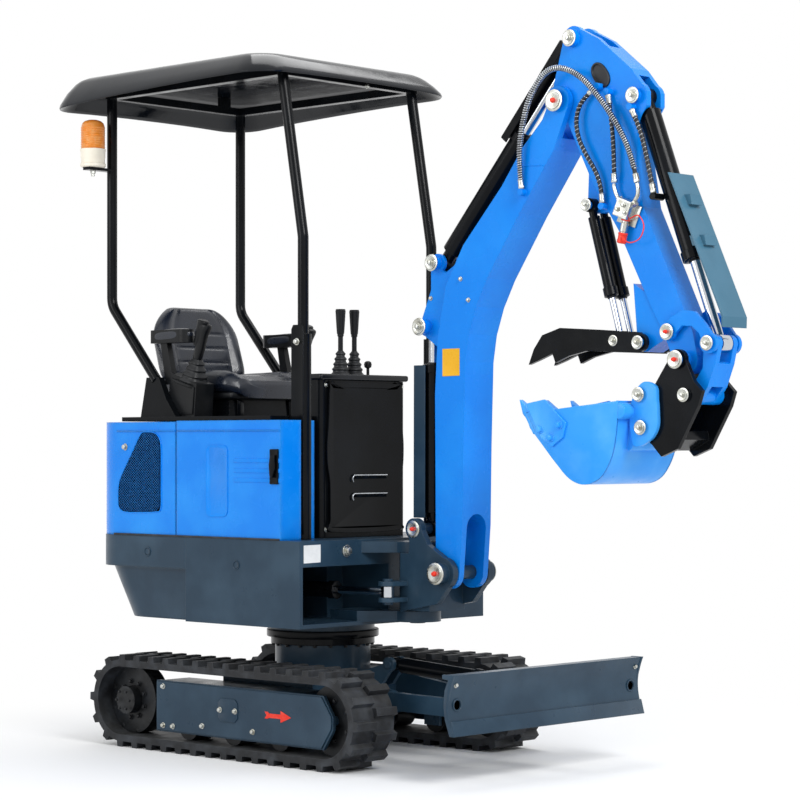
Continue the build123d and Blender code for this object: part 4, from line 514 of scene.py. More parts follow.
def select(piece: Piece, kind: str, wanted: Chooser) -> None:
    """Enters edit mode with only the wanted faces, edges or points selected.

    Args:
        piece: The piece.
        kind: FACE, EDGE or VERT.
        wanted: Whether one is wanted, by its middle and its normal or, for an edge, its direction.
    """
    pick(piece)
    bpy.ops.object.mode_set(mode="EDIT")
    bpy.ops.mesh.select_mode(type=kind)
    bpy.ops.mesh.select_all(action="DESELECT")
    shape = bmesh.from_edit_mesh(piece.data)
    if kind == "FACE":
        found = [(face, face.calc_center_median(), face.normal) for face in shape.faces]
    elif kind == "EDGE":
        ends = [(edge, *(corner.co for corner in edge.verts)) for edge in shape.edges]
        found = [(edge, (first + last) / 2, (last - first).normalized()) for edge, first, last in ends]
    else:
        found = [(point, point.co, point.normal) for point in shape.verts]
    for part, middle, way in found:
        part.select_set(bool(wanted(middle, way)))
    bmesh.update_edit_mesh(piece.data)


def leave_edit() -> None:
    """Goes back to object mode."""
    bpy.ops.object.mode_set(mode="OBJECT")


def inset(piece: Piece, wanted: Chooser, width: float, depth: float = 0.0) -> Piece:
    """Insets the wanted faces by a width and sinks them by a depth, which is negative to raise them.

    Args:
        piece: The piece.
        wanted: Whether a face is wanted, by its middle and normal.
        width: How far the faces shrink.
        depth: How deep they sink.

    Returns:
        The same piece.
    """
    select(piece, "FACE", wanted)
    bpy.ops.mesh.inset(thickness=width, depth=-depth, use_even_offset=True)
    leave_edit()
    return piece


def swell(
    piece: Piece, wanted: Chooser, factor: Sequence[float], centre: Sequence[float]
) -> Piece:
    """Scales the wanted points about a centre.

    Args:
        piece: The piece.
        wanted: Whether a point is wanted, by its place.
        factor: The scale along X, Y and Z.
        centre: What stays in place.

    Returns:
        The same piece.
    """
    select(piece, "VERT", wanted)
    bpy.ops.transform.resize(value=tuple(factor), center_override=tuple(centre))
    leave_edit()
    return piece


def soften(piece: Piece, width: float, segments: int = 3, angle: float = 30.0) -> Piece:
    """Rounds a piece's edges with an applied bevel, shaded smooth by angle.

    Args:
        piece: The piece.
        width: The bevel's width.
        segments: How many facets the round has.
        angle: The least angle, in degrees, of an edge that is rounded.

    Returns:
        The same piece.
    """
    pick(piece)
    bevel = piece.modifiers.new("rounded_edges", "BEVEL")
    bevel.width = width
    bevel.segments = segments
    bevel.limit_method = "ANGLE"
    bevel.angle_limit = math.radians(angle)
    bevel.harden_normals = False
    bpy.ops.object.modifier_apply(modifier=bevel.name)
    bpy.ops.object.shade_smooth_by_angle(angle=SMOOTH_ANGLE)
    return piece


def round_off(piece: Piece, levels: int = 2) -> Piece:
    """Rounds a whole piece with an applied subdivision surface.

    Args:
        piece: The piece.
        levels: How many times it is divided.

    Returns:
        The same piece.
    """
    pick(piece)
    surface = piece.modifiers.new("moulded_form", "SUBSURF")
    surface.levels = levels
    surface.render_levels = levels
    bpy.ops.object.modifier_apply(modifier=surface.name)
    bpy.ops.object.shade_smooth()
    return piece


def join(name: str, parts: Sequence[Piece]) -> Piece:
    """Joins parts into one piece.

    Args:
        name: The piece's name.
        parts: What it is made of, which are used up.

    Returns:
        The joined piece.
    """
    deselect_all()
    for part in parts:
        part.select_set(True)
    bpy.context.view_layer.objects.active = parts[0]
    if len(parts) > 1:
        bpy.ops.object.join()
    return rename(bpy.context.object, name)


def coat(piece: Piece, finish: Finish, slot: str | None = None) -> Piece:
    """Gives a finished piece its material.

    Args:
        piece: The piece.
        finish: Its finish.
        slot: Not used.

    Returns:
        The same piece.
    """
    piece.data.materials.clear()
    piece.data.materials.append(finish.material())
    return piece


def dress(piece: Piece, finish: Finish, body: str, slot: str | None = None) -> Piece:
    """Coats a finished piece and says which body it rides on.

    Args:
        piece: The piece.
        finish: Its finish.
        body: The body.
        slot: Passed on to coat, which does not use it.

    Returns:
        The same piece.
    """
    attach(coat(piece, finish, slot), body)
    return piece


def outline_prism(name: str, outline: Iterable[Sequence[float]], y_low: float, y_high: float) -> Piece:
    """A flat plate across the machine, its outline given as points from the slew centre.

    Args:
        name: The new piece's name.
        outline: Points (x from the slew centre, z) in millimetres.
        y_low: Its right face, in millimetres.
        y_high: Its left face, in millimetres.

    Returns:
        The plate, its faces turned outwards.
    """
    corners = [spot(x, y_low, z) for x, z in outline]
    return prism(name, corners, Vector((0, (y_high - y_low) * MM, 0)))


def plain_mesh(name: str, points: Sequence[Vector], faces: Sequence[tuple[int, ...]]) -> Piece:
    """A new piece from points and faces.

    Args:
        name: The piece's name.
        points: Its points.
        faces: Its faces, as numbers of points.

    Returns:
        The piece, in the scene.
    """
    deselect_all()
    mesh = bpy.data.meshes.new(name)
    mesh.from_pydata(points, [], faces)
    piece = bpy.data.objects.new(name, mesh)
    bpy.context.scene.collection.objects.link(piece)
    return piece


def face_outwards(piece: Piece) -> Piece:
    """Turns a piece's faces outwards."""
    select(piece, "FACE", lambda middle, normal: True)
    bpy.ops.mesh.normals_make_consistent(inside=False)
    leave_edit()
    return piece


def round_bar(
    name: str, line: Sequence[Vector], radius: float, closed: bool = False, facets: int = 2,
    capped: bool = True
) -> Piece:
    """A round bar or bead along points.

    Args:
        name: The new piece's name.
        line: The points.
        radius: Its radius in millimetres.
        closed: Whether its end joins its start.
        facets: How round its section is.
        capped: Whether an open bar's ends are closed.

    Returns:
        The bar as a smooth mesh.
    """
    data = bpy.data.curves.new(name, "CURVE")
    data.dimensions = "3D"
    data.bevel_depth = radius * MM
    data.bevel_resolution = facets
    data.use_fill_caps = capped and not closed
    run = data.splines.new("POLY")
    run.points.add(len(line) - 1)
    for point, place in zip(run.points, line):
        point.co = (*place, 1.0)
    run.use_cyclic_u = closed
    made = bpy.data.objects.new(name, data)
    bpy.context.scene.collection.objects.link(made)
    pick(made)
    bpy.ops.object.convert(target="MESH")
    bpy.ops.object.shade_smooth()
    return rename(bpy.context.object, name)


def prism(name: str, corners: Sequence[Vector], way: Vector) -> Piece:
    """A flat face through the corners, extruded along a way, its faces turned outwards.

    Args:
        name: The new piece's name.
        corners: The face's corners.
        way: How far it is extruded, and where.

    Returns:
        The closed form.
    """
    piece = plain_mesh(name, corners, [tuple(range(len(corners)))])
    select(piece, "FACE", lambda middle, normal: True)
    bpy.ops.mesh.extrude_region_move(TRANSFORM_OT_translate={"value": tuple(way)})
    bpy.ops.mesh.select_all(action="SELECT")
    bpy.ops.mesh.normals_make_consistent(inside=False)
    leave_edit()
    return piece


def hex_bolt(name: str, seat: Vector, way: Vector, across: float, washer: float = 1.35) -> Piece:
    """A hexagon bolt's head on its washer.

    Args:
        name: The piece's name.
        seat: The middle of the face that it sits on.
        way: Its direction away from that face.
        across: The head's width across its corners.
        washer: The washer's width, as a multiple of the head's.

    Returns:
        The head and its washer in one piece.
    """
    out = way.normalized()
    washer_top, head_top = seat + out * across * 0.16, seat + out * across * 0.62
    ring = drum(name + "_washer", seat, washer_top, across * washer / 2, 24)
    soften(ring, across * 0.03, 1)
    head = drum(name, washer_top, head_top, across / 2, 6)
    near_top = head_top.dot(out) - across * 0.07
    select(head, "FACE", lambda middle, normal: normal.dot(out) > 0.9 and middle.dot(out) > near_top)
    bpy.ops.mesh.inset(thickness=across * 0.06, depth=0.0)
    bpy.ops.transform.translate(value=tuple(out * across * 0.05))
    leave_edit()
    soften(head, across * 0.02, 1)
    return join(name, [head, ring])


class View:
    """The photograph's camera, which also finds the place on a node that a picture point shows."""

    AT = Vector((5.4545, -5.828, 1.008))
    LOOK = Vector((-0.6867, 0.7269, 0.0)).normalized()
    LENS = 111.97
    FOCAL = 2488.17
    MIDDLE = (400.0, 443.47)
    SHIFT = 0.0543

    @classmethod
    def ray(cls, u: float, v: float) -> Vector:
        """The direction from the camera through a point of the 800 by 800 picture."""
        across = cls.LOOK.cross(Vector((0, 0, 1)))
        up = Vector((0, 0, cls.MIDDLE[1] - v))
        return (cls.LOOK * cls.FOCAL + across * (u - cls.MIDDLE[0]) + up).normalized()

    @classmethod
    def picture(cls, point: Vector) -> tuple[float, float]:
        """Where a point shows in the picture."""
        across = cls.LOOK.cross(Vector((0, 0, 1)))
        gap = point - cls.AT
        depth = gap.dot(cls.LOOK)
        return cls.MIDDLE[0] + gap.dot(across) / depth * cls.FOCAL, cls.MIDDLE[1] - gap.z / depth * cls.FOCAL


class Carriers:
    """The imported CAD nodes, and the faces on them that new pieces sit on."""

    def __init__(self, nodes: dict[str, Piece]) -> None:
        """Keeps the nodes by name."""
        self.nodes = nodes

    def touch(self, node: str, start: Vector, way: Vector) -> tuple[Vector, Vector]:
        """Where a straight line first meets a node.

        Args:
            node: The node's name.
            start: The line's start.
            way: Its direction.

        Returns:
            The point met, and the outward normal there.
        """
        met, place, normal, _ = self.nodes[node].ray_cast(start, way.normalized())
        if not met:
            raise ValueError(f"nothing of {node} lies from {tuple(start)} along {tuple(way)}")
        return place, normal if normal.dot(way) < 0 else -normal

    def first(
        self, start: Vector, way: Vector, names: Iterable[str] | None = None
    ) -> tuple[str, Vector, Vector]:
        """The first node that a straight line meets, the point and the normal there.

        Args:
            start: The line's start.
            way: Its direction.
            names: The nodes to look at, or all of them.

        Returns:
            The node's name, the point met and the normal there.
        """
        best: tuple[float, str, Vector, Vector] | None = None
        for name in names or self.nodes:
            met, place, normal, _ = self.nodes[name].ray_cast(start, way.normalized())
            if met and (best is None or (place - start).length < best[0]):
                best = ((place - start).length, name, place.copy(), normal.copy())
        if best is None:
            raise ValueError(f"nothing lies from {tuple(start)} along {tuple(way)}")
        return best[1], best[2], best[3]

    def seen(self, node: str, u: float, v: float) -> tuple[Vector, Vector]:
        """The point of a node that a picture point shows, and the normal there."""
        return self.touch(node, View.AT, View.ray(u, v))

    def body(self, node: str) -> str:
        """The body that a node rides on."""
        return self.nodes[node]["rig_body"]


@dataclass
class Studio:
    """A pale floor that turns white away from the machine, soft lamps and the camera."""

    floor_tone: str = "#f4f5f6"
    lamp_power: float = 210.0

    def camera(self) -> None:
        """Makes the camera at the photograph's place."""
        data = bpy.data.cameras.new("camera")
        data.lens = View.LENS
        data.sensor_width = 36.0
        data.shift_y = View.SHIFT
        data.clip_end = 100.0
        camera = bpy.data.objects.new("camera", data)
        camera.location = View.AT
        camera.rotation_euler = View.LOOK.to_track_quat("-Z", "Y").to_euler()
        bpy.context.scene.collection.objects.link(camera)
        bpy.context.scene.camera = camera

    def floor(self) -> None:
        """Makes the floor, which keeps the shadows near the machine and is white beyond."""
        deselect_all()
        bpy.ops.mesh.primitive_plane_add(size=FLOOR_SIZE, location=(0, 0, -0.0005))
        floor = rename(bpy.context.object, "floor")
        paint = bpy.data.materials.new("pale_studio_floor")
        paint.use_nodes = True
        tree = paint.node_tree
        shader = tree.nodes["Principled BSDF"]
        shader.inputs["Base Color"].default_value = linear(self.floor_tone)
        shader.inputs["Roughness"].default_value = 0.9
        where = add_node(tree, "ShaderNodeTexCoord").outputs["Object"]
        far = add_node(tree, "ShaderNodeVectorMath", {"operation": "LENGTH"}, {0: where})
        fade = add_node(
            tree, "ShaderNodeMapRange",
            {"interpolation_type": "SMOOTHSTEP"},
            {"Value": far.outputs["Value"], "From Min": 0.9, "From Max": 2.3},
        )
        white = add_node(tree, "ShaderNodeEmission", inputs={"Color": (1, 1, 1, 1), "Strength": 1.0})
        mix = add_node(
            tree, "ShaderNodeMixShader",
            inputs={0: fade.outputs["Result"], 1: shader.outputs[0], 2: white.outputs[0]},
        )
        tree.links.new(mix.outputs[0], tree.nodes["Material Output"].inputs["Surface"])
        floor.data.materials.append(paint)

    def sky(self) -> None:
        """Lights the scene evenly, and shows as white to the eye and in what reflects."""
        world = bpy.data.worlds.new("white_studio")
        bpy.context.scene.world = world
        world.use_nodes = True
        tree = world.node_tree
        light = tree.nodes["Background"]
        light.inputs["Color"].default_value = (1, 1, 1, 1)
        light.inputs["Strength"].default_value = 0.62
        seen = add_node(tree, "ShaderNodeLightPath")
        white = add_node(tree, "ShaderNodeBackground", inputs={"Color": (1, 1, 1, 1), "Strength": 1.0})
        eye = add_node(
            tree, "ShaderNodeMath",
            {"operation": "MAXIMUM"},
            {0: seen.outputs["Is Camera Ray"], 1: seen.outputs["Is Transmission Ray"]},
        )
        bright = add_node(
            tree, "ShaderNodeMath", {"operation": "MAXIMUM"},
            {0: eye.outputs[0], 1: seen.outputs["Is Glossy Ray"]}
        )
        sockets = {0: bright.outputs[0], 1: light.outputs[0], 2: white.outputs[0]}
        mix = add_node(tree, "ShaderNodeMixShader", inputs=sockets)
        tree.links.new(mix.outputs[0], tree.nodes["World Output"].inputs["Surface"])

    def lamp(self, name: str, place: Sequence[float], power: float, size: float) -> None:
        """Makes one square soft lamp that faces the machine.

        Args:
            name: Its name.
            place: Its middle.
            power: Its power in watts.
            size: Its width.
        """
        data = bpy.data.lights.new(name, "AREA")
        data.energy = power
        data.size = size
        lamp = bpy.data.objects.new(name, data)
        lamp.location = place
        lamp.rotation_euler = (Vector((0, 0, 1.0)) - lamp.location).to_track_quat("-Z", "Y").to_euler()
        bpy.context.scene.collection.objects.link(lamp)

    def build(self) -> None:
        """Makes the whole studio."""
        bpy.context.scene.view_settings.view_transform = "Standard"
        self.camera()
        self.floor()
        self.sky()
        self.lamp("key_lamp", (5.5, -1.5, 4.8), self.lamp_power * 1.25, 2.6)
        self.lamp("side_lamp", (-1.5, -5.5, 3.2), self.lamp_power * 0.5, 3.0)
        self.lamp("top_lamp", (-1.0, 1.5, 5.8), self.lamp_power * 0.55, 3.5)


CAD_FINISHES: dict[str, Finish] = {
    "undercarriage_frame": SLATE_ENAMEL,
    "slew_ring": BLACK_ENAMEL,
    "track_left": TRACK_RUBBER,
    "track_right": TRACK_RUBBER,
    "running_gear_left": CAST_STEEL,
    "running_gear_right": CAST_STEEL,
    "dozer_blade": SLATE_ENAMEL,
    "blade_ram_barrel": BLACK_ENAMEL,
    "blade_ram_rod": GROUND_CHROME,
    "upper_frame": SLATE_ENAMEL,
    "counterweight": CAST_SLATE_ENAMEL,
    "right_cover": HOOD_ENAMEL,
    "left_cover": HOOD_ENAMEL,
    "rear_door": HOOD_ENAMEL,
    "engine": CAST_STEEL,
    "seat_deck": BLACK_ENAMEL,
    "console_left": MOULDED_ABS,
    "console_right": MOULDED_ABS,
    "front_console": BLACK_ENAMEL,
    "travel_levers": MOULDED_ABS,
    "canopy_frame": BLACK_ENAMEL,
    "swing_bracket": SLATE_ENAMEL,
    "swing_ram_barrel": BLACK_ENAMEL,
    "swing_ram_rod": GROUND_CHROME,
    "boom": AZURE_ENAMEL,
    "boom_ram_barrel": BLACK_ENAMEL,
    "boom_ram_rod": GROUND_CHROME,
    "arm": AZURE_ENAMEL,
    "arm_ram_barrel": BLACK_ENAMEL,
    "arm_ram_rod": GROUND_CHROME,
    "bucket_ram_barrel": BLACK_ENAMEL,
    "bucket_ram_guard": PALE_SLATE_ENAMEL,
    "bucket_ram_rod": GROUND_CHROME,
    "rocker": AZURE_ENAMEL,
    "link": AZURE_ENAMEL,
    "hitch": BLACK_ENAMEL,
    "bucket": SCOURED_LIT_ENAMEL,
    "thumb": BLACK_ENAMEL,
    "thumb_ram_barrels": BLACK_ENAMEL,
    "thumb_ram_rods": GROUND_CHROME,
}


def dress_cad(nodes: dict[str, Piece]) -> None:
    """Gives every CAD node that stays its real finish."""
    for name, finish in CAD_FINISHES.items():
        piece = nodes[name]
        if not piece.material_slots:
            piece.data.materials.append(finish.material())
        for place in piece.material_slots:
            place.material = finish.material()


@dataclass
class PinEnds:
    """The pins' ends: a chamfered steel end, its keeper plate with a bolt, and a grease nipple's cap.

    Each pin is given by its place from the slew centre, in millimetres, and its end's radius.
    """

    carriers: Carriers
    pins: tuple[tuple[str, float, float, float], ...] = (
        ("boom_foot", 620, 602, 27),
        ("boom_ram_base", 499, 738, 21),
        ("boom_ram_eye", 501, 1377, 22),
        ("arm_ram_base", 549, 1577, 21),
        ("arm_pin", 1064, 2038, 26),
        ("arm_ram_eye", 1107, 2223, 20),
        ("bucket_ram_base", 1346, 2029, 19),
        ("thumb_ram_base", 1164, 1720, 15),
        ("rocker_pin", 1477, 1331, 19),
        ("rocker_eye", 1620, 1295, 17),
        ("arm_tip", 1528, 1249, 21),
        ("thumb_pin", 1376, 1303, 16),
        ("thumb_ram_eye", 1280, 1311, 13),
        ("bucket_pin_upper", 1406, 1150, 17),
        ("bucket_pin_lower", 1413, 1054, 17),
        ("hitch_link", 1556, 1147, 16),
    )
    capped: tuple[str, ...] = ("boom_foot", "arm_pin", "rocker_pin", "arm_tip", "boom_ram_base")

    def end(self, name: str, seat: Vector, out: Vector, radius: float) -> Piece:
        """One pin's end with a turned recess.

        Args:
            name: Its name.
            seat: The middle of the face that it stands on.
            out: Its direction.
            radius: Its radius.

        Returns:
            The end and its collar in one piece.
        """
        collar = drum(name + "_collar", seat, seat + out * 3 * MM, radius * 1.28, 40)
        soften(collar, 0.8 * MM, 2)
        end = drum(name, seat + out * 2 * MM, seat + out * 7.5 * MM, radius, 40)
        face = seat.dot(out) + 7 * MM
        select(end, "FACE", lambda middle, normal: normal.dot(out) > 0.9 and middle.dot(out) > face)
        bpy.ops.mesh.inset(thickness=radius * 0.3, depth=0.0)
        bpy.ops.transform.translate(value=tuple(out * -2 * MM))
        leave_edit()
        soften(end, 1.0 * MM, 2)
        return join(name, [end, collar])

    def build(self) -> int:
        """Makes both ends of each pin, and returns how many were made."""
        made = 0
        for pin, dx, z, radius_mm in self.pins:
            for hand, side_name in ((-1, "right"), (1, "left")):
                start = spot(dx, hand * 600, z)
                node, seat, _ = self.carriers.first(start, Vector((0, -hand, 0)))
                out = Vector((0, hand, 0))
                body = self.carriers.body(node)
                radius = radius_mm * MM
                name = f"{pin}_pin_end_{side_name}"
                dress(self.end(name, seat - out * 0.3 * MM, out, radius), PLATED_ZINC, body, "chrome_rod")
                if pin in self.capped:
                    cap_at = seat + out * 5 * MM
                    cap = drum(name + "_cap", cap_at, cap_at + out * 9 * MM, radius * 0.34, 20, radius * 0.22)
                    soften(cap, 1.2 * MM, 3)
                    dress(cap, RED_PVC, body, "blue_paint")
                else:
                    bolt = hex_bolt(name + "_bolt", seat + out * 5 * MM, out, radius * 0.75)
                    dress(bolt, PLATED_ZINC, body, "chrome_rod")
                made += 1
        return made


@dataclass
class Hose:
    """One hydraulic hose on its smooth line, with a crimped ferrule and nut at each end.

    The route's points are from the slew centre, in millimetres, as in the part's source.
    """

    name: str
    route: tuple[Point, ...]
    body: str
    end_body: str
    stiffness: str = "stiff"
    lay: str = "hanging"
    radius: float = 6.5 * MM
    pitch: float = 13.5 * MM
    wire: float = 1.1 * MM
    wound: tuple[float, float] = (0.06, 0.94)

    def curve(self) -> Piece:
        """The hose's NURBS line, without its thickness.

        Returns:
            The curve.
        """
        data = bpy.data.curves.new(self.name, "CURVE")
        data.dimensions = "3D"
        data.resolution_u = 12
        line = data.splines.new("NURBS")
        line.points.add(len(self.route) - 1)
        for point, place in zip(line.points, self.route):
            point.co = (*spot(*place), 1.0)
        line.order_u = 3
        line.use_endpoint_u = True
        made = bpy.data.objects.new(self.name, data)
        bpy.context.scene.collection.objects.link(made)
        return made

    def line_points(self, curve: Piece) -> list[Vector]:
        """Points along the hose's own line, read from its spline.

        Args:
            curve: The hose's curve.

        Returns:
            The points, in order.
        """
        bpy.context.view_layer.update()
        mesh = bpy.data.meshes.new_from_object(curve)
        points = [corner.co.copy() for corner in mesh.vertices]
        bpy.data.meshes.remove(mesh)
        return points

    def fitting(self, name: str, end: Vector, inwards: Vector, body: str) -> Piece:
        """A crimped ferrule over the hose's end, with its hexagon nut.

        Args:
            name: The piece's name.
            end: The hose's end.
            inwards: The way from there along the hose.
            body: The body that it rides on.

        Returns:
            The fitting.
        """
        back = inwards.normalized()
        length = 26 * MM
        shell = drum(name + "_shell", end + back * 7 * MM, end + back * length, self.radius * 1.42, 24)
        low, high = (end + back * 7 * MM).dot(back), (end + back * length).dot(back)
        select(shell, "EDGE", lambda middle, way: abs(way.dot(back)) > 0.9)
        bpy.ops.mesh.subdivide(number_cuts=9)
        leave_edit()
        grooves = [low + (high - low) * step / 10 for step in (2, 4, 6, 8)]
        centre = end + back * length / 2
        for groove in grooves:
            select(shell, "VERT", lambda co, normal, groove=groove: abs(co.dot(back) - groove) < 0.6 * MM)
            pinch = centre + back * (groove - centre.dot(back))
            bpy.ops.transform.resize(value=(0.9, 0.9, 0.9), center_override=pinch)
            leave_edit()
        soften(shell, 0.4 * MM, 1)
        nut = drum(name + "_nut", end - back * 1.0 * MM, end + back * 7.5 * MM, self.radius * 1.5, 6)
        soften(nut, 0.7 * MM, 2)
        return dress(join(name, [shell, nut]), PLATED_ZINC, body, "zinc_plate")

    def coil(self, points: list[Vector]) -> Piece:
        """A wire spring wound round the hose's middle, its turns following the hose's line.

        Args:
            points: Points along the hose.

        Returns:
            The spring.
        """
        lengths = [0.0]
        for first, second in zip(points, points[1:]):
            lengths.append(lengths[-1] + (second - first).length)
        start, stop = (lengths[-1] * share for share in self.wound)
        steps = int((stop - start) / self.pitch * COIL_STEPS)
        wire = []
        piece = 0
        for step in range(steps + 1):
            along = start + (stop - start) * step / steps
            while piece < len(points) - 2 and lengths[piece + 1] < along:
                piece += 1
            part = (along - lengths[piece]) / max(lengths[piece + 1] - lengths[piece], 1e-9)
            middle = points[piece].lerp(points[piece + 1], part)
            way = (points[piece + 1] - points[piece]).normalized()
            across = way.cross(Vector((0, 1, 0))).normalized()
            beside = way.cross(across)
            turn = 2 * math.pi * step / COIL_STEPS
            out = across * math.cos(turn) + beside * math.sin(turn)
            wire.append(middle + out * (self.radius + self.wire * 0.7))
        return round_bar(self.name + "_spring", wire, self.wire / MM, facets=1, capped=False)

    def build(self) -> Piece:
        """Returns:
            The hose.
        """
        hose = self.curve()
        points = self.line_points(hose)
        first = self.fitting(self.name + "_ferrule_start", points[0], points[1] - points[0], self.body)
        last = self.fitting(self.name + "_ferrule_end", points[-1], points[-2] - points[-1], self.end_body)
        guard = coat(self.coil(points), SPRING_WIRE, "zinc_plate")
        crosses = self.body != self.end_body
        hose.data.bevel_depth = self.radius
        hose.data.bevel_resolution = 6
        hose.data.use_fill_caps = True
        if crosses:
            pick(hose)
            bpy.ops.object.convert(target="MESH")
            hose = bpy.context.object
            bpy.ops.object.shade_smooth()
        rename(coat(hose, HOSE_RUBBER), self.name + "_line")
        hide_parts(self.name)
        if not crosses:
            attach(hose, self.body)
            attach(guard, self.body)
        else:
            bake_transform(hose)
            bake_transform(guard)
        return hose


HOSES = (
    Hose(
        "hose_over",
        (
            (934, -78, 1783), (929, -86, 1868), (946, -92, 1968), (985, -95, 2070), (1062, -96, 2142),
            (1165, -92, 2112), (1252, -84, 2020), (1318, -72, 1920), (1352, -64, 1832), (1364, -62, 1772),
        ),
        "boom",
        "arm",
        pitch=7.2 * MM,
        wire=1.9 * MM,
        wound=(0.03, 0.955),
    ),
    Hose(
        "hose_thumb",
        (
            (1205, -57, 2062), (1160, -62, 2038), (1137, -66, 1985), (1145, -68, 1925),
            (1176, -67, 1868), (1212, -63, 1815), (1229, -59, 1765), (1231, -57, 1722),
        ),
        "arm",
        "arm",
    ),
    Hose(
        "hose_valve",
        ((1253, -57, 2037), (1268, -62, 1972), (1278, -65, 1905), (1281, -65, 1838), (1280, -62, 1778)),
        "arm",
        "arm",
    ),
    Hose(
        "hose_bucket",
        ((1342, -57, 1986), (1372, -60, 1932), (1393, -61, 1868), (1409, -60, 1800), (1422, -58, 1738)),
        "arm",
        "arm",
    ),
)


def at_side(u: float, v: float, y: float) -> Vector:
    """The point on the upright plane at y, in millimetres, that a picture point shows."""
    way = View.ray(u, v)
    return View.AT + way * ((y * MM - View.AT.y) / way.y)


def rounded_outline(points: Sequence[Vector], steps: int = 6, closed: bool = True) -> list[Vector]:
    """A smooth line through points, with that many steps between two of them.

    Args:
        points: The points.
        steps: The steps between two points.
        closed: Whether the line is a loop.

    Returns:
        The line's points.
    """
    count = len(points)
    spans = count if closed else count - 1
    line: list[Vector] = []
    for span in range(spans):
        if closed:
            p0, p1, p2, p3 = (points[(span + k) % count] for k in (-1, 0, 1, 2))
        else:
            p1, p2 = points[span], points[span + 1]
            p0 = points[span - 1] if span else p1 * 2 - p2
            p3 = points[span + 2] if span + 2 < count else p2 * 2 - p1
        for step in range(steps):
            t = step / steps
            line.append(
                (p1 * 2 + (p2 - p0) * t + (p0 * 2 - p1 * 5 + p2 * 4 - p3) * t * t
                 + (p1 * 3 - p0 - p2 * 3 + p3) * t * t * t) * 0.5
            )
    if not closed:
        line.append(points[-1].copy())
    return line


def loft(name: str, rings: Sequence[Sequence[Vector]], closed: bool = False) -> Piece:
    """A skin over rings of equal count, with flat ends unless the rings close on themselves.

    Args:
        name: The new piece's name.
        rings: The rings, in order.
        closed: Whether the last ring joins the first.

    Returns:
        The closed form, its faces turned outwards.
    """
    count = len(rings[0])
    points = [point for ring in rings for point in ring]
    faces = []
    for level in range(len(rings) if closed else len(rings) - 1):
        low, high = level * count, (level + 1) % len(rings) * count
        for k in range(count):
            nxt = (k + 1) % count
            faces.append((low + k, low + nxt, high + nxt, high + k))
    if not closed:
        faces.append(tuple(reversed(range(count))))
        faces.append(tuple(range((len(rings) - 1) * count, len(rings) * count)))
    piece = face_outwards(plain_mesh(name, points, faces))
    pick(piece)
    bpy.ops.object.shade_smooth_by_angle(angle=SMOOTH_ANGLE)
    return piece


def oval(
    centre: Vector, across: Vector, beside: Vector, half_a: float, half_b: float, power: float = 2.0,
    count: int = 32
) -> list[Vector]:
    """A ring, round at a power of 2 and ever more square above it.

    Args:
        centre: Its middle.
        across: Its first direction.
        beside: Its second direction.
        half_a: Its half width along the first.
        half_b: Its half width along the second.
        power: How square it is.
        count: How many points it has.

    Returns:
        The points.
    """
    ring = []
    for k in range(count):
        turn = 2 * math.pi * k / count
        c, s = math.cos(turn), math.sin(turn)
        a = math.copysign(abs(c) ** (2 / power), c) * half_a
        b = math.copysign(abs(s) ** (2 / power), s) * half_b
        ring.append(centre + across * a + beside * b)
    return ring


def turned(name: str, base: Vector, way: Vector, profile: Sequence[tuple[float, float]], count: int = 32,
           power: float = 2.0) -> Piece:
    """A turned or moulded form: rings of (height, radius) in millimetres along a way.

    Args:
        name: The new piece's name.
        base: Where its axis starts.
        way: The axis's direction.
        profile: Heights and radii in millimetres.
        count: How many points a ring has.
        power: How square a ring is.

    Returns:
        The closed form.
    """
    out = way.normalized()
    across = out.cross(Vector((0, 1, 0))).normalized()
    beside = out.cross(across)
    rings = [oval(base + out * h * MM, across, beside, r * MM, r * MM, power, count) for h, r in profile]
    return loft(name, rings)


def bellows(low: float, high: float, radius: float, tip: float, folds: int) -> list[tuple[float, float]]:
    """The profile of a rubber boot with that many folds.

    Args:
        low: Its foot's height.
        high: Its top's height.
        radius: The foot's radius.
        tip: The top's radius.
        folds: How many folds it has.

    Returns:
        Heights and radii.
    """
    profile: list[tuple[float, float]] = [(low, radius)]
    for fold in range(folds):
        for part, swell_by in ((0.12, 0.5), (0.35, 4.2), (0.55, 4.2), (0.85, 0.0)):
            t = (fold + part) / folds
            profile.append((low + (high - low) * t, radius + (tip - radius) * t + swell_by))
    profile.append((high, tip))
    return profile


def sheet_seen(
    carriers: Carriers, name: str, node: str, corners: Sequence[tuple[float, float]], lift: float,
    thick: float
) -> Piece:
    """A thin plate on a node's flat face, its outline given by picture points.

    Args:
        carriers: The nodes.
        name: The new piece's name.
        node: The node that it sits on.
        corners: Its corners in the picture.
        lift: How far its back stands off, in millimetres.
        thick: Its thickness in millimetres.

    Returns:
        The plate.
    """
    met = [carriers.seen(node, u, v) for u, v in corners]
    out = met[0][1].normalized()
    return prism(name, [place + out * lift * MM for place, _ in met], out * thick * MM)


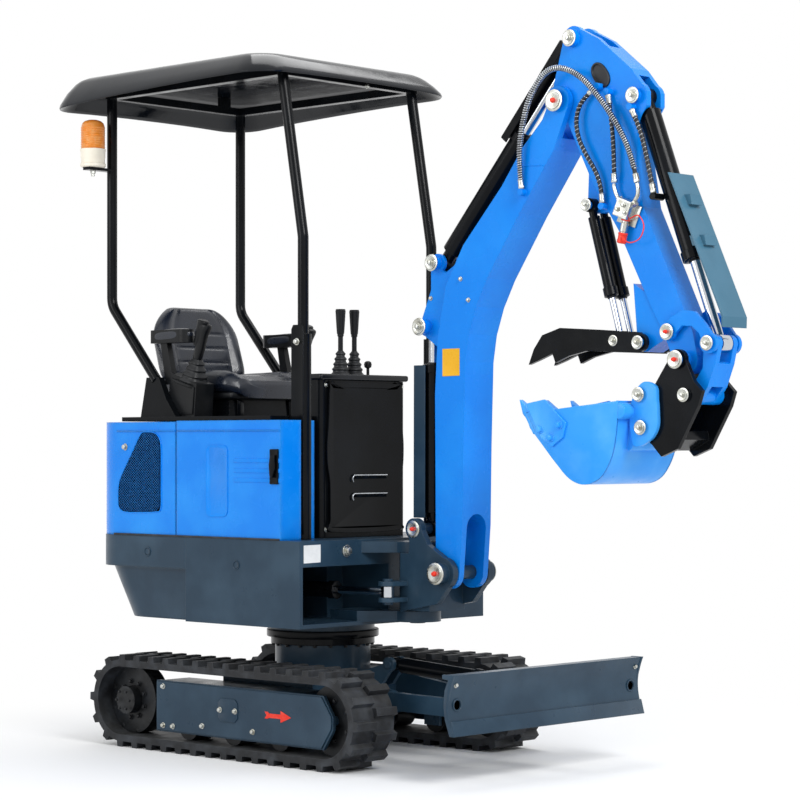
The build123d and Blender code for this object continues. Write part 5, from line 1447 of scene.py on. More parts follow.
@dataclass
class Seat:
    """The seat: a cushion and a back in one vinyl cover, with side bolsters and sewn channels."""

    half_width: float = 196.0
    middle_dx: float = -450.0
    base_z: float = 1158.0

    def ring(
        self, centre: Vector, out: Vector, half: float, back: float, front: float, bolster: float,
        groove: float
    ) -> list[Vector]:
        """One cross-section of a pad, its sides raised into bolsters, its middle sunk by a seam.

        Args:
            centre: Its middle.
            out: The way that the pad faces.
            half: Half its width, in millimetres.
            back: How thick it is behind.
            front: How thick it is in front.
            bolster: The bolsters' height.
            groove: How deep a seam sinks it here.

        Returns:
            The ring's points.
        """
        side = Vector((0, 1, 0))
        ring = []
        steps = 26
        for k in range(steps + 1):
            y = -1 + 2 * k / steps
            round_edge = max(1 - abs(y) ** 7, 0.0) ** 0.5
            t = min(max((abs(y) - 0.56) / 0.24, 0.0), 1.0)
            bump = t * t * (3 - 2 * t) * (1 - max(abs(y) - 0.84, 0.0) / 0.16 * 0.6)
            seam = math.exp(-(((abs(y) - 0.62) / 0.035) ** 2)) * 4.5
            middle = groove if abs(y) < 0.6 else 0.0
            height = (front + bolster * bump - seam - middle) * round_edge
            ring.append(centre + side * y * half * MM + out * height * MM)
        for k in range(1, steps):
            y = 1 - 2 * k / steps
            height = back * max(1 - abs(y) ** 6, 0.0) ** 0.5
            ring.append(centre + side * y * half * MM - out * height * MM)
        return ring

    def cushion(self) -> Piece:
        """The seat pad, its front edge rolled down.

        Returns:
            The pad.
        """
        rings = []
        line = [
            (-182, 62, 12, 4), (-170, 58, 40, 10), (-120, 52, 48, 20), (-60, 48, 50, 26), (-10, 47, 50, 28),
            (40, 49, 50, 27), (90, 53, 49, 24), (140, 56, 47, 19), (180, 55, 41, 13), (204, 48, 30, 8),
            (214, 40, 14, 3),
        ]
        for first, second in zip(line, line[1:]):
            for step in range(5):
                t = step / 5
                dx, z, thick, bolster = (a + (b - a) * t for a, b in zip(first, second))
                seams = sum(math.exp(-(((dx - at) / 4.5) ** 2)) for at in (-75, 15, 105))
                half = self.half_width * (1 - 0.35 * max((abs(dx - 15) - 150) / 60, 0.0) ** 2)
                centre = spot(self.middle_dx + dx, 0, self.base_z + z - 8)
                rings.append(self.ring(centre, Vector((0, 0, 1)), half, 34, thick * 0.75, bolster, 5 * seams))
        return loft("seat_cushion", rings)

    def back(self) -> Piece:
        """The backrest, narrower at its top, leaning back.

        Returns:
            The pad.
        """
        rings = []
        low = spot(self.middle_dx - 140, 0, self.base_z + 66)
        high = spot(self.middle_dx - 214, 0, self.base_z + 322)
        way = (high - low).normalized()
        out = Vector((way.z, 0, -way.x))
        length = (high - low).length / MM
        steps = 54
        for step in range(steps + 1):
            t = step / steps
            edge = max(1 - abs(2 * t - 1) ** 9, 0.0) ** 0.5
            shoulder = 1 - 0.46 * max((t - 0.52) / 0.48, 0.0) ** 2.1
            half = self.half_width * shoulder * (0.9 + 0.1 * edge)
            seams = sum(math.exp(-(((t * length - at) / 4.0) ** 2)) for at in (60, 112, 165))
            bolster = 26 * (1 - 0.75 * t) * edge
            centre = low + way * length * t * MM
            rings.append(self.ring(centre, out, half, 20 * max(edge, 0.15), 30 * max(edge, 0.15), bolster,
                                   6 * seams))
        return loft("seat_back", rings)

    def build(self) -> None:
        """Makes the pads, the pan under them and the slide rails."""
        cushion = round_off(self.cushion(), 1)
        back = round_off(self.back(), 1)
        for pad in (cushion, back):
            dress(pad, SEAT_VINYL, "house")
        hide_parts("seat")
        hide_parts("seat")
        pan = block(
            "seat_pan", spot(self.middle_dx - 176, -178, self.base_z - 2),
            spot(self.middle_dx + 196, 178, self.base_z + 24)
        )
        inset(pan, lambda middle, normal: normal.z > 0.9, 10 * MM, 4 * MM)
        dress(soften(pan, 8 * MM, 3), MOULDED_ABS, "house")
        for hand in (-1, 1):
            rail = block(
                f"seat_rail_{'left' if hand > 0 else 'right'}",
                spot(self.middle_dx - 160, hand * 120 - 16, 1096.3),
                spot(self.middle_dx + 180, hand * 120 + 16, self.base_z - 1),
            )
            inset(rail, lambda middle, normal: abs(normal.y) > 0.9, 9 * MM, 5 * MM)
            dress(soften(rail, 2 * MM, 2), BLACK_ENAMEL, "house")


@dataclass
class Levers:
    """The travel levers with their rubber boots, and a joystick with boot, grip and armrest on each side."""

    console_dx: float = 154.0
    console_top: float = 1225.6
    side_dx: float = -395.0
    side_y: float = 244.0
    deck: float = 1096.3

    def travel(self) -> None:
        """Makes both travel levers."""
        for number, y in enumerate((-72, -8)):
            base = spot(self.console_dx, y, self.console_top)
            boot = turned(f"travel_boot_{number}", base, Vector((0, 0, 1)), bellows(0, 84, 29, 10, 5), 36)
            dress(boot, BOOT_RUBBER, "house")
            rod = turned(
                f"travel_rod_{number}", base + Vector((0, 0, 80 * MM)), Vector((0, 0, 1)),
                [(0, 7.6), (3, 8.2), (50, 8.2), (52, 10.5), (60, 10.5), (62, 8.4), (80, 8.4)], 20,
            )
            dress(rod, MOULDED_ABS, "house")
            grip = turned(
                f"travel_grip_{number}", base + Vector((0, 0, 138 * MM)), Vector((0, 0, 1)),
                [(0, 8), (2, 12), (20, 13.4), (50, 15.2), (70, 16.4), (76, 17), (79, 15), (80.5, 10),
                 (81, 3)], 28,
            )
            dress(grip, MOULDED_ABS, "house")
        knob_at = spot(self.console_dx - 4, 60, self.console_top)
        knob = turned(
            "throttle_knob", knob_at, Vector((0, 0, 1)),
            [(0, 9), (3, 10), (5, 5), (30, 5), (33, 11), (42, 13), (50, 11), (54, 5)], 24,
        )
        dress(knob, MOULDED_ABS, "house")

    def joystick(self, hand: int, name: str) -> None:
        """Makes one side's joystick and armrest over the CAD console.

        Args:
            hand: -1 for the right, 1 for the left.
            name: The side's name.
        """
        y = hand * self.side_y
        foot = spot(self.side_dx + 26, y, self.deck + 112)
        lean = Vector((0.28, 0, 1)).normalized()
        boot = turned(f"joystick_boot_{name}", foot, lean, bellows(0, 84, 44, 14, 4), 40, 3.2)
        dress(boot, BOOT_RUBBER, "house")
        collar = turned(
            f"joystick_frame_{name}", spot(self.side_dx + 22, y, self.deck + 106), lean,
            [(0, 49), (2, 52), (9, 52), (11, 49), (11.5, 40)], 40, 5.0,
        )
        dress(collar, MOULDED_ABS, "house")
        grip_foot = foot + lean * 82 * MM
        across = lean.cross(Vector((0, 1, 0))).normalized()
        beside = Vector((0, 1, 0))
        rings = []
        profile = [
            (0, 11, 11), (8, 13, 13), (20, 15, 14), (45, 18, 15), (70, 17, 15), (95, 18, 16), (112, 22, 18),
            (124, 24, 19), (132, 22, 17), (136, 14, 11), (137, 4, 4),
        ]
        for height, a, b in profile:
            drift = across * (-6 * MM) * (height / 137) ** 2
            rings.append(oval(grip_foot + lean * height * MM * 0.93 + drift, across, beside, a * MM, b * MM,
                              2.6, 28))
        dress(loft(f"joystick_grip_{name}", rings), MOULDED_ABS, "house")
        rest_y = y + hand * 18
        pad_rings = []
        for t in range(21):
            s = -1 + t / 10
            end = max(1 - abs(s) ** 4, 0.0) ** 0.5
            centre = spot(self.side_dx - 60 + s * 98, rest_y, self.deck + 274 + 4 * s)
            wide, high = 33 * MM * max(end, 0.2), 23 * MM * max(end, 0.25)
            pad_rings.append(oval(centre, Vector((0, 1, 0)), Vector((0, 0, 1)), wide, high, 3.0, 32))
        pad = loft(f"armrest_{name}", pad_rings)
        dress(round_off(pad, 1), SEAT_VINYL, "house")
        side_panel = outline_prism(
            f"console_panel_{name}",
            [(self.side_dx - 52, self.deck + 8), (self.side_dx + 68, self.deck + 8),
             (self.side_dx + 76, self.deck + 98),
             (self.side_dx - 40, self.deck + 132)],
            y + hand * 40 - (0.4 if hand > 0 else 3.6),
            y + hand * 40 + (3.6 if hand > 0 else 0.4),
        )
        inset(side_panel, lambda middle, normal: normal.y * hand > 0.9, 9 * MM, 1.6 * MM)
        dress(soften(side_panel, 1.2 * MM, 2), MOULDED_ABS, "house")

    def build(self) -> None:
        """Makes all the levers."""
        self.travel()
        self.joystick(-1, "right")
        self.joystick(1, "left")


@dataclass
class Console:
    """The front console's pressed panels: a raised face, its rim, the slots' lips and screws; the lips are
    bright wire beads as a painted highlight, and the slots are dark blocks of painted shade.
    """

    carriers: Carriers

    def build(self) -> None:
        """Makes the console's details."""
        face_dx = 190.0
        outline = [
            (-168, 722), (168, 722), (176, 760), (178, 880), (190, 940), (192, 1010), (184, 1080),
            (178, 1190),
            (160, 1204), (-160, 1204), (-178, 1190), (-184, 1080), (-192, 1010), (-190, 940), (-178, 880),
            (-176, 760),
        ]
        corners = [spot(face_dx - 0.4, y * 0.93, z) for y, z in outline]
        panel = prism("console_face", rounded_outline(corners, 4), Vector((11 * MM, 0, 0)))
        inset(panel, lambda middle, normal: normal.x > 0.9, 16 * MM, 2.5 * MM)
        dress(soften(panel, 5 * MM, 5), BLACK_ENAMEL, "house")
        for number, z in enumerate((840, 900)):
            lip = [
                spot(face_dx + 13.5, y, height)
                for y, height in ((-62, z - 17), (-66, z - 6), (-60, z + 3), (-48, z + 5), (20, z + 5),
                                  (96, z + 5))
            ]
            # Bright metal beads paint the highlight that the slots' rolled lips catch
            bead = round_bar(f"console_slot_lip_{number}", rounded_outline(lip, 4, False), 2.4)
            dress(bead, SPRING_WIRE, "house", "zinc_plate")
            # A dark block paints the shade inside the slot
            slot = block(f"console_slot_{number}", spot(face_dx + 11, -50, z - 7),
                         spot(face_dx + 14.4, 92, z + 1))
            inset(slot, lambda middle, normal: normal.x > 0.9, 1.5 * MM, -0.8 * MM)
            dress(slot, PAINTED_SHADE, "house", "black_paint")
        for number, (y, z) in enumerate(((-176, 730), (176, 730), (-176, 1196), (176, 1196))):
            bolt = hex_bolt(f"console_screw_{number}", spot(face_dx - 0.2, y, z), Vector((1, 0, 0)), 11 * MM)
            dress(bolt, PLATED_ZINC, "house", "zinc_plate")
        rim = block("console_top_lip", spot(122, -206, 1212), spot(200, 206, 1234))
        inset(rim, lambda middle, normal: normal.z > 0.9, 12 * MM, 2 * MM)
        dress(soften(rim, 9 * MM, 5), GLOSS_ABS, "house")


@dataclass
class Beacon:
    """The warning beacon: a cream base on a bracket, and a ribbed amber lens."""

    dx: float = -723.0
    y: float = -385.0
    low: float = 1948.0

    def build(self) -> None:
        """Makes the beacon in place of its CAD solid."""
        foot = spot(self.dx, self.y, self.low)
        up = Vector((0, 0, 1))
        base = turned(
            "beacon_base", foot, up,
            [(0, 40), (3, 43.5), (12, 43.5), (14, 40.5), (30, 40.5), (33, 42), (52, 42), (56, 43.6),
             (62, 43.6), (63, 38)], 48,
        )
        dress(base, CREAM_ABS, "house")
        profile = [(62, 41.5)]
        for rib in range(9):
            z = 66 + rib * 8.0
            profile += [(z, 40.0), (z + 4, 41.6), (z + 7, 40.0)]
        profile += [(140, 39.5), (150, 36), (157, 28), (161, 16), (162, 4)]
        lens = turned("beacon_lens", foot, up, profile, 48)
        dress(lens, AMBER_LENS, "house")
        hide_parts("beacon")
        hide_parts("beacon")
        stem = turned("beacon_bolt", foot, -up, [(10, 9), (20, 9), (21, 6), (30, 6)], 6)
        dress(stem, PLATED_ZINC, "house", "zinc_plate")


@dataclass
class Bucket:
    """The digging bucket: a rolled shell, side plates, lip, bolted side cutters, teeth and ears."""

    tip: tuple[float, float] = (1528.0, 1249.0)
    half: float = 150.0
    wall: float = 8.0
    curve: tuple[tuple[float, float], ...] = (
        (-164, -117), (-168, -160), (-176, -225), (-192, -285), (-232, -341), (-290, -362), (-347, -346),
        (-401, -298),
        (-452, -245), (-500, -195),
    )

    def at(self, x: float, z: float, y: float = 0.0) -> Vector:
        """A point given from the arm's tip pin."""
        return spot(self.tip[0] + x, y, self.tip[1] + z)

    def skin(self, y: float) -> list[Vector]:
        """The shell's outer line on one side plane."""
        return rounded_outline([self.at(x, z, y) for x, z in self.curve], 6, closed=False)

    def shell(self) -> Piece:
        """The rolled shell, as thick as its plate.

        Returns:
            The shell.
        """
        rings = []
        for y in (-self.half + 1, self.half - 1):
            outer = self.skin(y)
            inner = []
            for k, point in enumerate(outer):
                way = outer[min(k + 1, len(outer) - 1)] - outer[max(k - 1, 0)]
                inwards = Vector((way.z, 0, -way.x)).normalized()
                inner.append(point + inwards * self.wall * MM)
            rings.append(outer + inner[::-1])
        return loft("bucket_shell", rings)

    def cheek(self, hand: int) -> Piece:
        """One side plate, its mouth edge straight.

        Args:
            hand: -1 for the right, 1 for the left.

        Returns:
            The plate.
        """
        y = hand * (self.half - self.wall)
        outline = self.skin(y)
        outline += [self.at(-519, -150, y)]
        plate = prism("bucket_cheek", outline, Vector((0, hand * self.wall * MM, 0)))
        return soften(plate, 1.5 * MM, 2)

    def cutter(self, hand: int) -> Piece:
        """One bolted side cutter on a side plate.

        Args:
            hand: -1 for the right, 1 for the left.

        Returns:
            The cutter with its bolts.
        """
        seen = ((527.4, 403.6), (545.6, 399.5), (567.2, 422.7), (563.8, 437.6), (553.1, 446.8),
                (542.3, 438.5))
        flat = [at_side(u, v, -self.half) for u, v in seen]
        corners = [Vector((p.x, hand * self.half * MM, p.z)) for p in flat]
        plate = prism("side_cutter", corners, Vector((0, hand * 8 * MM, 0)))
        inset(plate, lambda middle, normal: normal.y * hand > 0.9, 4 * MM, 1.2 * MM)
        soften(plate, 1.6 * MM, 2)
        parts = [plate]
        for u, v in ((541.5, 429.4), (552.2, 437.6), (560.5, 425.2)):
            place = at_side(u, v, -self.half)
            seat = Vector((place.x, hand * (self.half + 6.4) * MM, place.z))
            parts.append(hex_bolt("cutter_bolt", seat, Vector((0, hand, 0)), 19 * MM))
        return join(f"side_cutter_{'left' if hand > 0 else 'right'}", parts)

    def ear(self, hand: int) -> Piece:
        """One ear plate, whose two eyes are not cut.

        Args:
            hand: -1 for the right, 1 for the left.

        Returns:
            The ear.
        """
        seen = (
            (644.3, 381.6), (654.6, 386.2), (656.2, 399.5), (657.0, 413), (656.5, 428), (649.3, 440.3),
            (634.7, 446.6),
            (629.7, 430), (629.7, 408.1), (635.6, 389.9),
        )
        corners = [at_side(u, v, -103) for u, v in seen]
        for corner in corners:
            corner.y = hand * 86.9 * MM
        plate = prism("bucket_ear", rounded_outline(corners, 5), Vector((0, hand * 16 * MM, 0)))
        return soften(plate, 2.2 * MM, 3)

    def tooth(self, y: float) -> Piece:
        """One forged tooth on its shank, slimmer towards its tip.

        Args:
            y: Its middle, in millimetres.

        Returns:
            The tooth.
        """
        outline = [(-478, -218), (-466, -186), (-505, -150), (-560, -108), (-540, -152)]
        tooth = prism("tooth", [self.at(x, z, y - 17) for x, z in outline], Vector((0, 34 * MM, 0)))
        edge = self.at(-560, -108).x + 12 * MM
        middle = self.at(-560, -108, y)
        swell(tooth, lambda co, normal: co.x < edge, (1, 0.55, 1), middle)
        soften(tooth, 2.5 * MM, 3)
        shank = prism(
            "shank", [self.at(x, z, y - 22) for x,
                      z in ((-452, -232), (-446, -212), (-500, -160), (-512, -170))],
            Vector((0, 44 * MM, 0)),
        )
        return join("tooth", [tooth, soften(shank, 2.5 * MM, 3)])

    def build(self) -> None:
        """Makes the bucket in place of its CAD solid."""
        edge = ((-486, -214), (-480, -202), (-514, -146), (-524, -150))
        lip = prism(
            "bucket_lip",
            [self.at(x, z, -self.half - 1) for x, z in edge],
            Vector((0, 2 * (self.half + 1) * MM, 0)),
        )
        soften(lip, 1.5 * MM, 2)
        tube = drum("bucket_tube", self.at(-166, -146, -self.half + 2), self.at(-166, -146, self.half - 2),
                    24 * MM, 40)
        soften(tube, 3 * MM, 3)
        wrap = prism(
            "bucket_saddle",
            rounded_outline(
                [self.at(x, z, -86.9) for x, z in
                 ((-150, -120), (-140, -160), (-150, -230), (-172, -262), (-186, -240), (-176, -160))], 5),
            Vector((0, 173.8 * MM, 0)),
        )
        soften(wrap, 3 * MM, 3)
        body = join("bucket_body", [self.shell(), self.cheek(-1), self.cheek(1), lip, tube, wrap])
        # The bucket's enamel is painted paler for the light on it, on top of its scouring
        dress(body, SCOURED_LIT_ENAMEL, "bucket")
        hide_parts("bucket")
        ears = join("bucket_ears", [self.ear(-1), self.ear(1)])
        dress(ears, SCOURED_LIT_ENAMEL, "bucket")
        cutters = [self.cutter(-1), self.cutter(1)]
        for cutter in cutters:
            dress(cutter, SCOURED_LIT_ENAMEL, "bucket")
        teeth = join("bucket_teeth", [self.tooth(y) for y in (-120.0, 0.0, 120.0)])
        dress(teeth, SCOURED_LIT_ENAMEL, "bucket")


@dataclass
class Roof:
    """The pressed canopy roof: a crowned top, rounded corners and a rim that turns down."""

    rear_dx: float = -884.0
    front_dx: float = 178.0
    half: float = 452.0
    front_rise: float = 34.0

    ARC_STEPS = 8
    SIDE_STEPS = 8

    def ring(self, inset_by: float, z: float, radius: float, share: float, bow: float = 0.0) -> list[Vector]:
        """One rounded rectangle of the roof.

        Args:
            inset_by: How far it lies inside the rim.
            z: Its height.
            radius: Its corners' radius.
            share: How much of the front's rise it takes.
            bow: How far its sides hang down.

        Returns:
            The ring's points.
        """
        low_x, high_x = self.rear_dx + inset_by, self.front_dx - inset_by
        half = self.half - inset_by
        radius = max(radius - inset_by * 0.3, 12.0)
        ring = []
        corners = ((high_x, -half, -90), (high_x, half, 0), (low_x, half, 90), (low_x, -half, 180))
        middle_x = (low_x + high_x) / 2
        for corner_x, corner_y, start in corners:
            centre_x = corner_x - math.copysign(radius, corner_x - middle_x)
            centre_y = corner_y - math.copysign(radius, corner_y)
            for k in range(self.ARC_STEPS + 1):
                turn = math.radians(start + 90 * k / self.ARC_STEPS)
                ring.append((centre_x + radius * math.cos(turn), centre_y + radius * math.sin(turn)))
        full = []
        for k, (x, y) in enumerate(ring):
            full.append((x, y))
            if k % (self.ARC_STEPS + 1) == self.ARC_STEPS:
                nx, ny = ring[(k + 1) % len(ring)]
                for step in range(1, self.SIDE_STEPS):
                    share_on = step / self.SIDE_STEPS
                    full.append((x + (nx - x) * share_on, y + (ny - y) * share_on))
        points = []
        for x, y in full:
            along = abs(x - middle_x) / ((high_x - low_x) / 2)
            across = abs(y) / half
            drop = bow * (along**2.5 + across**2.5 - 1) if bow else 0.0
            rise = self.front_rise * share * (x - self.rear_dx) / (self.front_dx - self.rear_dx)
            points.append(spot(x, y, z - max(drop, 0.0) + rise))
        return points

    def build(self, carriers: Carriers) -> None:
        """Makes the roof in place of its CAD solid, with its frame's bolts.

        Args:
            carriers: The nodes.
        """
        levels = [
            (30, 2192, 110, 0.8), (10, 2166, 110, 1.0), (2, 2157, 110, 1.0), (-2, 2156, 110, 1.0),
            (-4, 2160, 110, 1.0),
            (-2, 2170, 110, 0.9), (16, 2202, 110, 0.45), (38, 2234, 110, 0.1), (50, 2246, 110, 0.0),
            (66, 2254, 110, 0.0),
            (92, 2259, 110, 0.0), (170, 2264, 110, 0.0), (260, 2267, 110, 0.0), (380, 2268, 60, 0.0),
        ]
        rings = [self.ring(*level, 0 if level[1] > 2200 else 9) for level in levels]
        under = [(380, 2249, 60, 0), (260, 2248, 110, 0), (120, 2243, 110, 0.1), (84, 2236, 110, 0.2),
                 (56, 2222, 110, 0.5)]
        inside = [self.ring(*level) for level in under]
        roof = loft("canopy_shell", inside + rings)
        dress(roof, GLOSS_ABS, "house")
        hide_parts("canopy_roof")
        for number, (u, v) in enumerate(((135.6, 87.5), (244.0, 68.6), (256.9, 103.1), (366.6, 86.1))):
            way = View.ray(u, v)
            try:
                node, seat, normal = carriers.first(View.AT, way, ("canopy_frame",))
            except ValueError:
                continue
            bolt = hex_bolt(f"canopy_bolt_{number}", seat, normal, 13 * MM)
            dress(bolt, PLATED_ZINC, carriers.body(node), "zinc_plate")


@dataclass
class Hood:
    """The engine hood's details: a woven grille in its corner, pressed panels, ribs and a latch."""

    carriers: Carriers

    def skin_point(self, node: str, u: float, v: float, lift: float) -> Vector:
        """A point just off a node's skin, under a picture point."""
        place, normal = self.carriers.seen(node, u, v)
        return place + normal * lift * MM

    def grille(self) -> None:
        """Makes the expanded-metal grille in a darker enamel that paints the shade it lies in, its backing of
        painted shade, and its rim.
        """
        outline = [
            (141, 434), (147, 432), (155, 433), (160, 439), (161.5, 450), (161.5, 470), (161.5, 490),
            (161, 509),
            (155, 512), (140, 512.4), (126, 512), (119.5, 508), (118.4, 498), (119.5, 482), (126, 466),
            (133.5, 450),
        ]

        def inside(u: float, v: float) -> bool:
            """Whether a picture point lies in the grille's outline."""
            hit = False
            for (ua, va), (ub, vb) in zip(outline, outline[1:] + outline[:1]):
                if (va > v) != (vb > v) and u < ua + (v - va) / (vb - va) * (ub - ua):
                    hit = not hit
            return hit

        columns, rows = 19, 30
        step_u, step_v = 44.0 / columns, 81.0 / rows
        lattice: dict[tuple[int, int], Vector] = {}
        for column in range(columns * 2 + 1):
            for row in range(rows * 2 + 1):
                if (column + row) % 2:
                    continue
                u, v = 118 + column * step_u / 2, 431.6 + row * step_v / 2
                if inside(u, v):
                    lattice[(column, row)] = self.skin_point("rear_door", u, v, 3.0)
        index = {key: number for number, key in enumerate(lattice)}
        faces = []
        for column, row in lattice:
            diamond = [(column, row), (column + 1, row + 1), (column, row + 2), (column - 1, row + 1)]
            if all(key in index for key in diamond):
                faces.append(tuple(index[key] for key in diamond))
        grille = plain_mesh("hood_grille", list(lattice.values()), faces)
        select(grille, "VERT", lambda co, normal: True)
        bpy.ops.mesh.delete_loose()
        leave_edit()
        pick(grille)
        wires = grille.modifiers.new("expanded_metal", "WIREFRAME")
        wires.thickness = 1.9 * MM
        wires.use_even_offset = False
        bpy.ops.object.modifier_apply(modifier=wires.name)
        # The grille's darker enamel is painted shade
        dress(grille, SHADED_AZURE, "door", "blue_paint")
        rim_line = rounded_outline([self.skin_point("rear_door", u, v, 1.2) for u, v in outline], 4)
        middle = self.skin_point("rear_door", 142, 475, 0.7)
        count = len(rim_line)
        rings = []
        for share in (1.0, 0.8, 0.6, 0.4, 0.2):
            for k, point in enumerate(rim_line):
                u0, v0 = View.picture(point)
                u, v = 142 + (u0 - 142) * share, 475 + (v0 - 475) * share
                rings.append(self.skin_point("rear_door", u, v, 0.7))
        quads = []
        for level in range(4):
            for k in range(count):
                nxt = (k + 1) % count
                low, high = level * count, (level + 1) * count
                quads.append((low + k, low + nxt, high + nxt, high + k))
        rings.append(middle)
        for k in range(count):
            quads.append((4 * count + k, 4 * count + (k + 1) % count, 5 * count))
        # A dark sheet under the grille paints the shade behind it
        backing = face_outwards(plain_mesh("hood_grille_backing", rings, quads))
        dress(backing, PAINTED_SHADE, "door", "black_paint")
        rim = round_bar("hood_grille_rim", rim_line, 2.0, closed=True)
        dress(rim, AZURE_ENAMEL, "door")

    def pressed(self, name: str, box: tuple[float, float, float, float], node: str = "right_cover") -> None:
        """Makes one pressed rectangle with rounded corners, as a raised frame on the cover's side.

        Args:
            name: The piece's name.
            box: Its left, top, right and bottom in the picture.
            node: The cover.
        """
        left, top, right, bottom = box
        rise = 3.0
        corners = []
        for u, v in ((left, top), (right, top), (right, bottom), (left, bottom)):
            corners.append(self.carriers.seen(node, u, v)[0])
        radius = min((corners[0] - corners[1]).length, (corners[1] - corners[2]).length) * 0.24
        line = []
        for k, corner in enumerate(corners):
            before = (corners[k - 1] - corner).normalized()
            after = (corners[(k + 1) % 4] - corner).normalized()
            start, end = corner + before * radius, corner + after * radius
            for step in range(7):
                t = step / 6
                line.append(start * (1 - t) ** 2 + corner * 2 * t * (1 - t) + end * t * t)
        panel = prism(name, line, Vector((0, -rise * MM, 0)))
        inset(panel, lambda middle, normal: normal.y < -0.9, 8 * MM, 2.4 * MM)
        dress(soften(panel, 1.4 * MM, 3), AZURE_ENAMEL, self.carriers.body(node))

    def build(self) -> None:
        """Makes all the hood's details."""
        self.grille()
        self.pressed("hood_pressing", (206, 445, 228, 517))
        for number, v in enumerate((460.5, 470.5, 480)):
            ends = [self.carriers.seen("right_cover", u, v)[0] for u in (234, 282)]
            rib = block(
                f"hood_rib_{number}", Vector((ends[0].x, ends[0].y - 2.6 * MM, ends[0].z - 7 * MM)),
                Vector((ends[1].x, ends[0].y + 1 * MM, ends[0].z + 7 * MM)),
            )
            dress(soften(rib, 2.5 * MM, 4), AZURE_ENAMEL, "house")
        for name, low_dx, high_dx, hand, body in (
            ("door", -548, -256, -1, "door"), ("right", -247, 236, -1, "house"),
            ("left", -548, -234, 1, "house"),
        ):
            low, high = sorted((hand * 424.0, hand * 428.4))
            fold = block(f"hood_top_fold_{name}", spot(low_dx, low, 1046), spot(high_dx, high, 1052))
            dress(soften(fold, 1.6 * MM, 3), HOOD_ENAMEL, body)
        seat, normal = self.carriers.seen("rear_door", 125.5, 447)
        bolt = hex_bolt("hood_bolt", seat, normal, 17 * MM)
        dress(bolt, PLATED_ZINC, "door", "zinc_plate")
        plate = block("hood_latch_plate", spot(196, -432.0, 880), spot(232, -424.8, 990))
        inset(plate, lambda middle, normal: normal.y < -0.9, 5 * MM, 1.5 * MM)
        dress(soften(plate, 1.5 * MM, 2), BLACK_ENAMEL, "house")
        lever = outline_prism(
            "hood_latch", [(205, 968), (224, 972), (226, 930), (214, 900), (203, 905), (200, 940)], -440,
            -431.5
        )
        dress(soften(lever, 2 * MM, 3), BLACK_ENAMEL, "house")


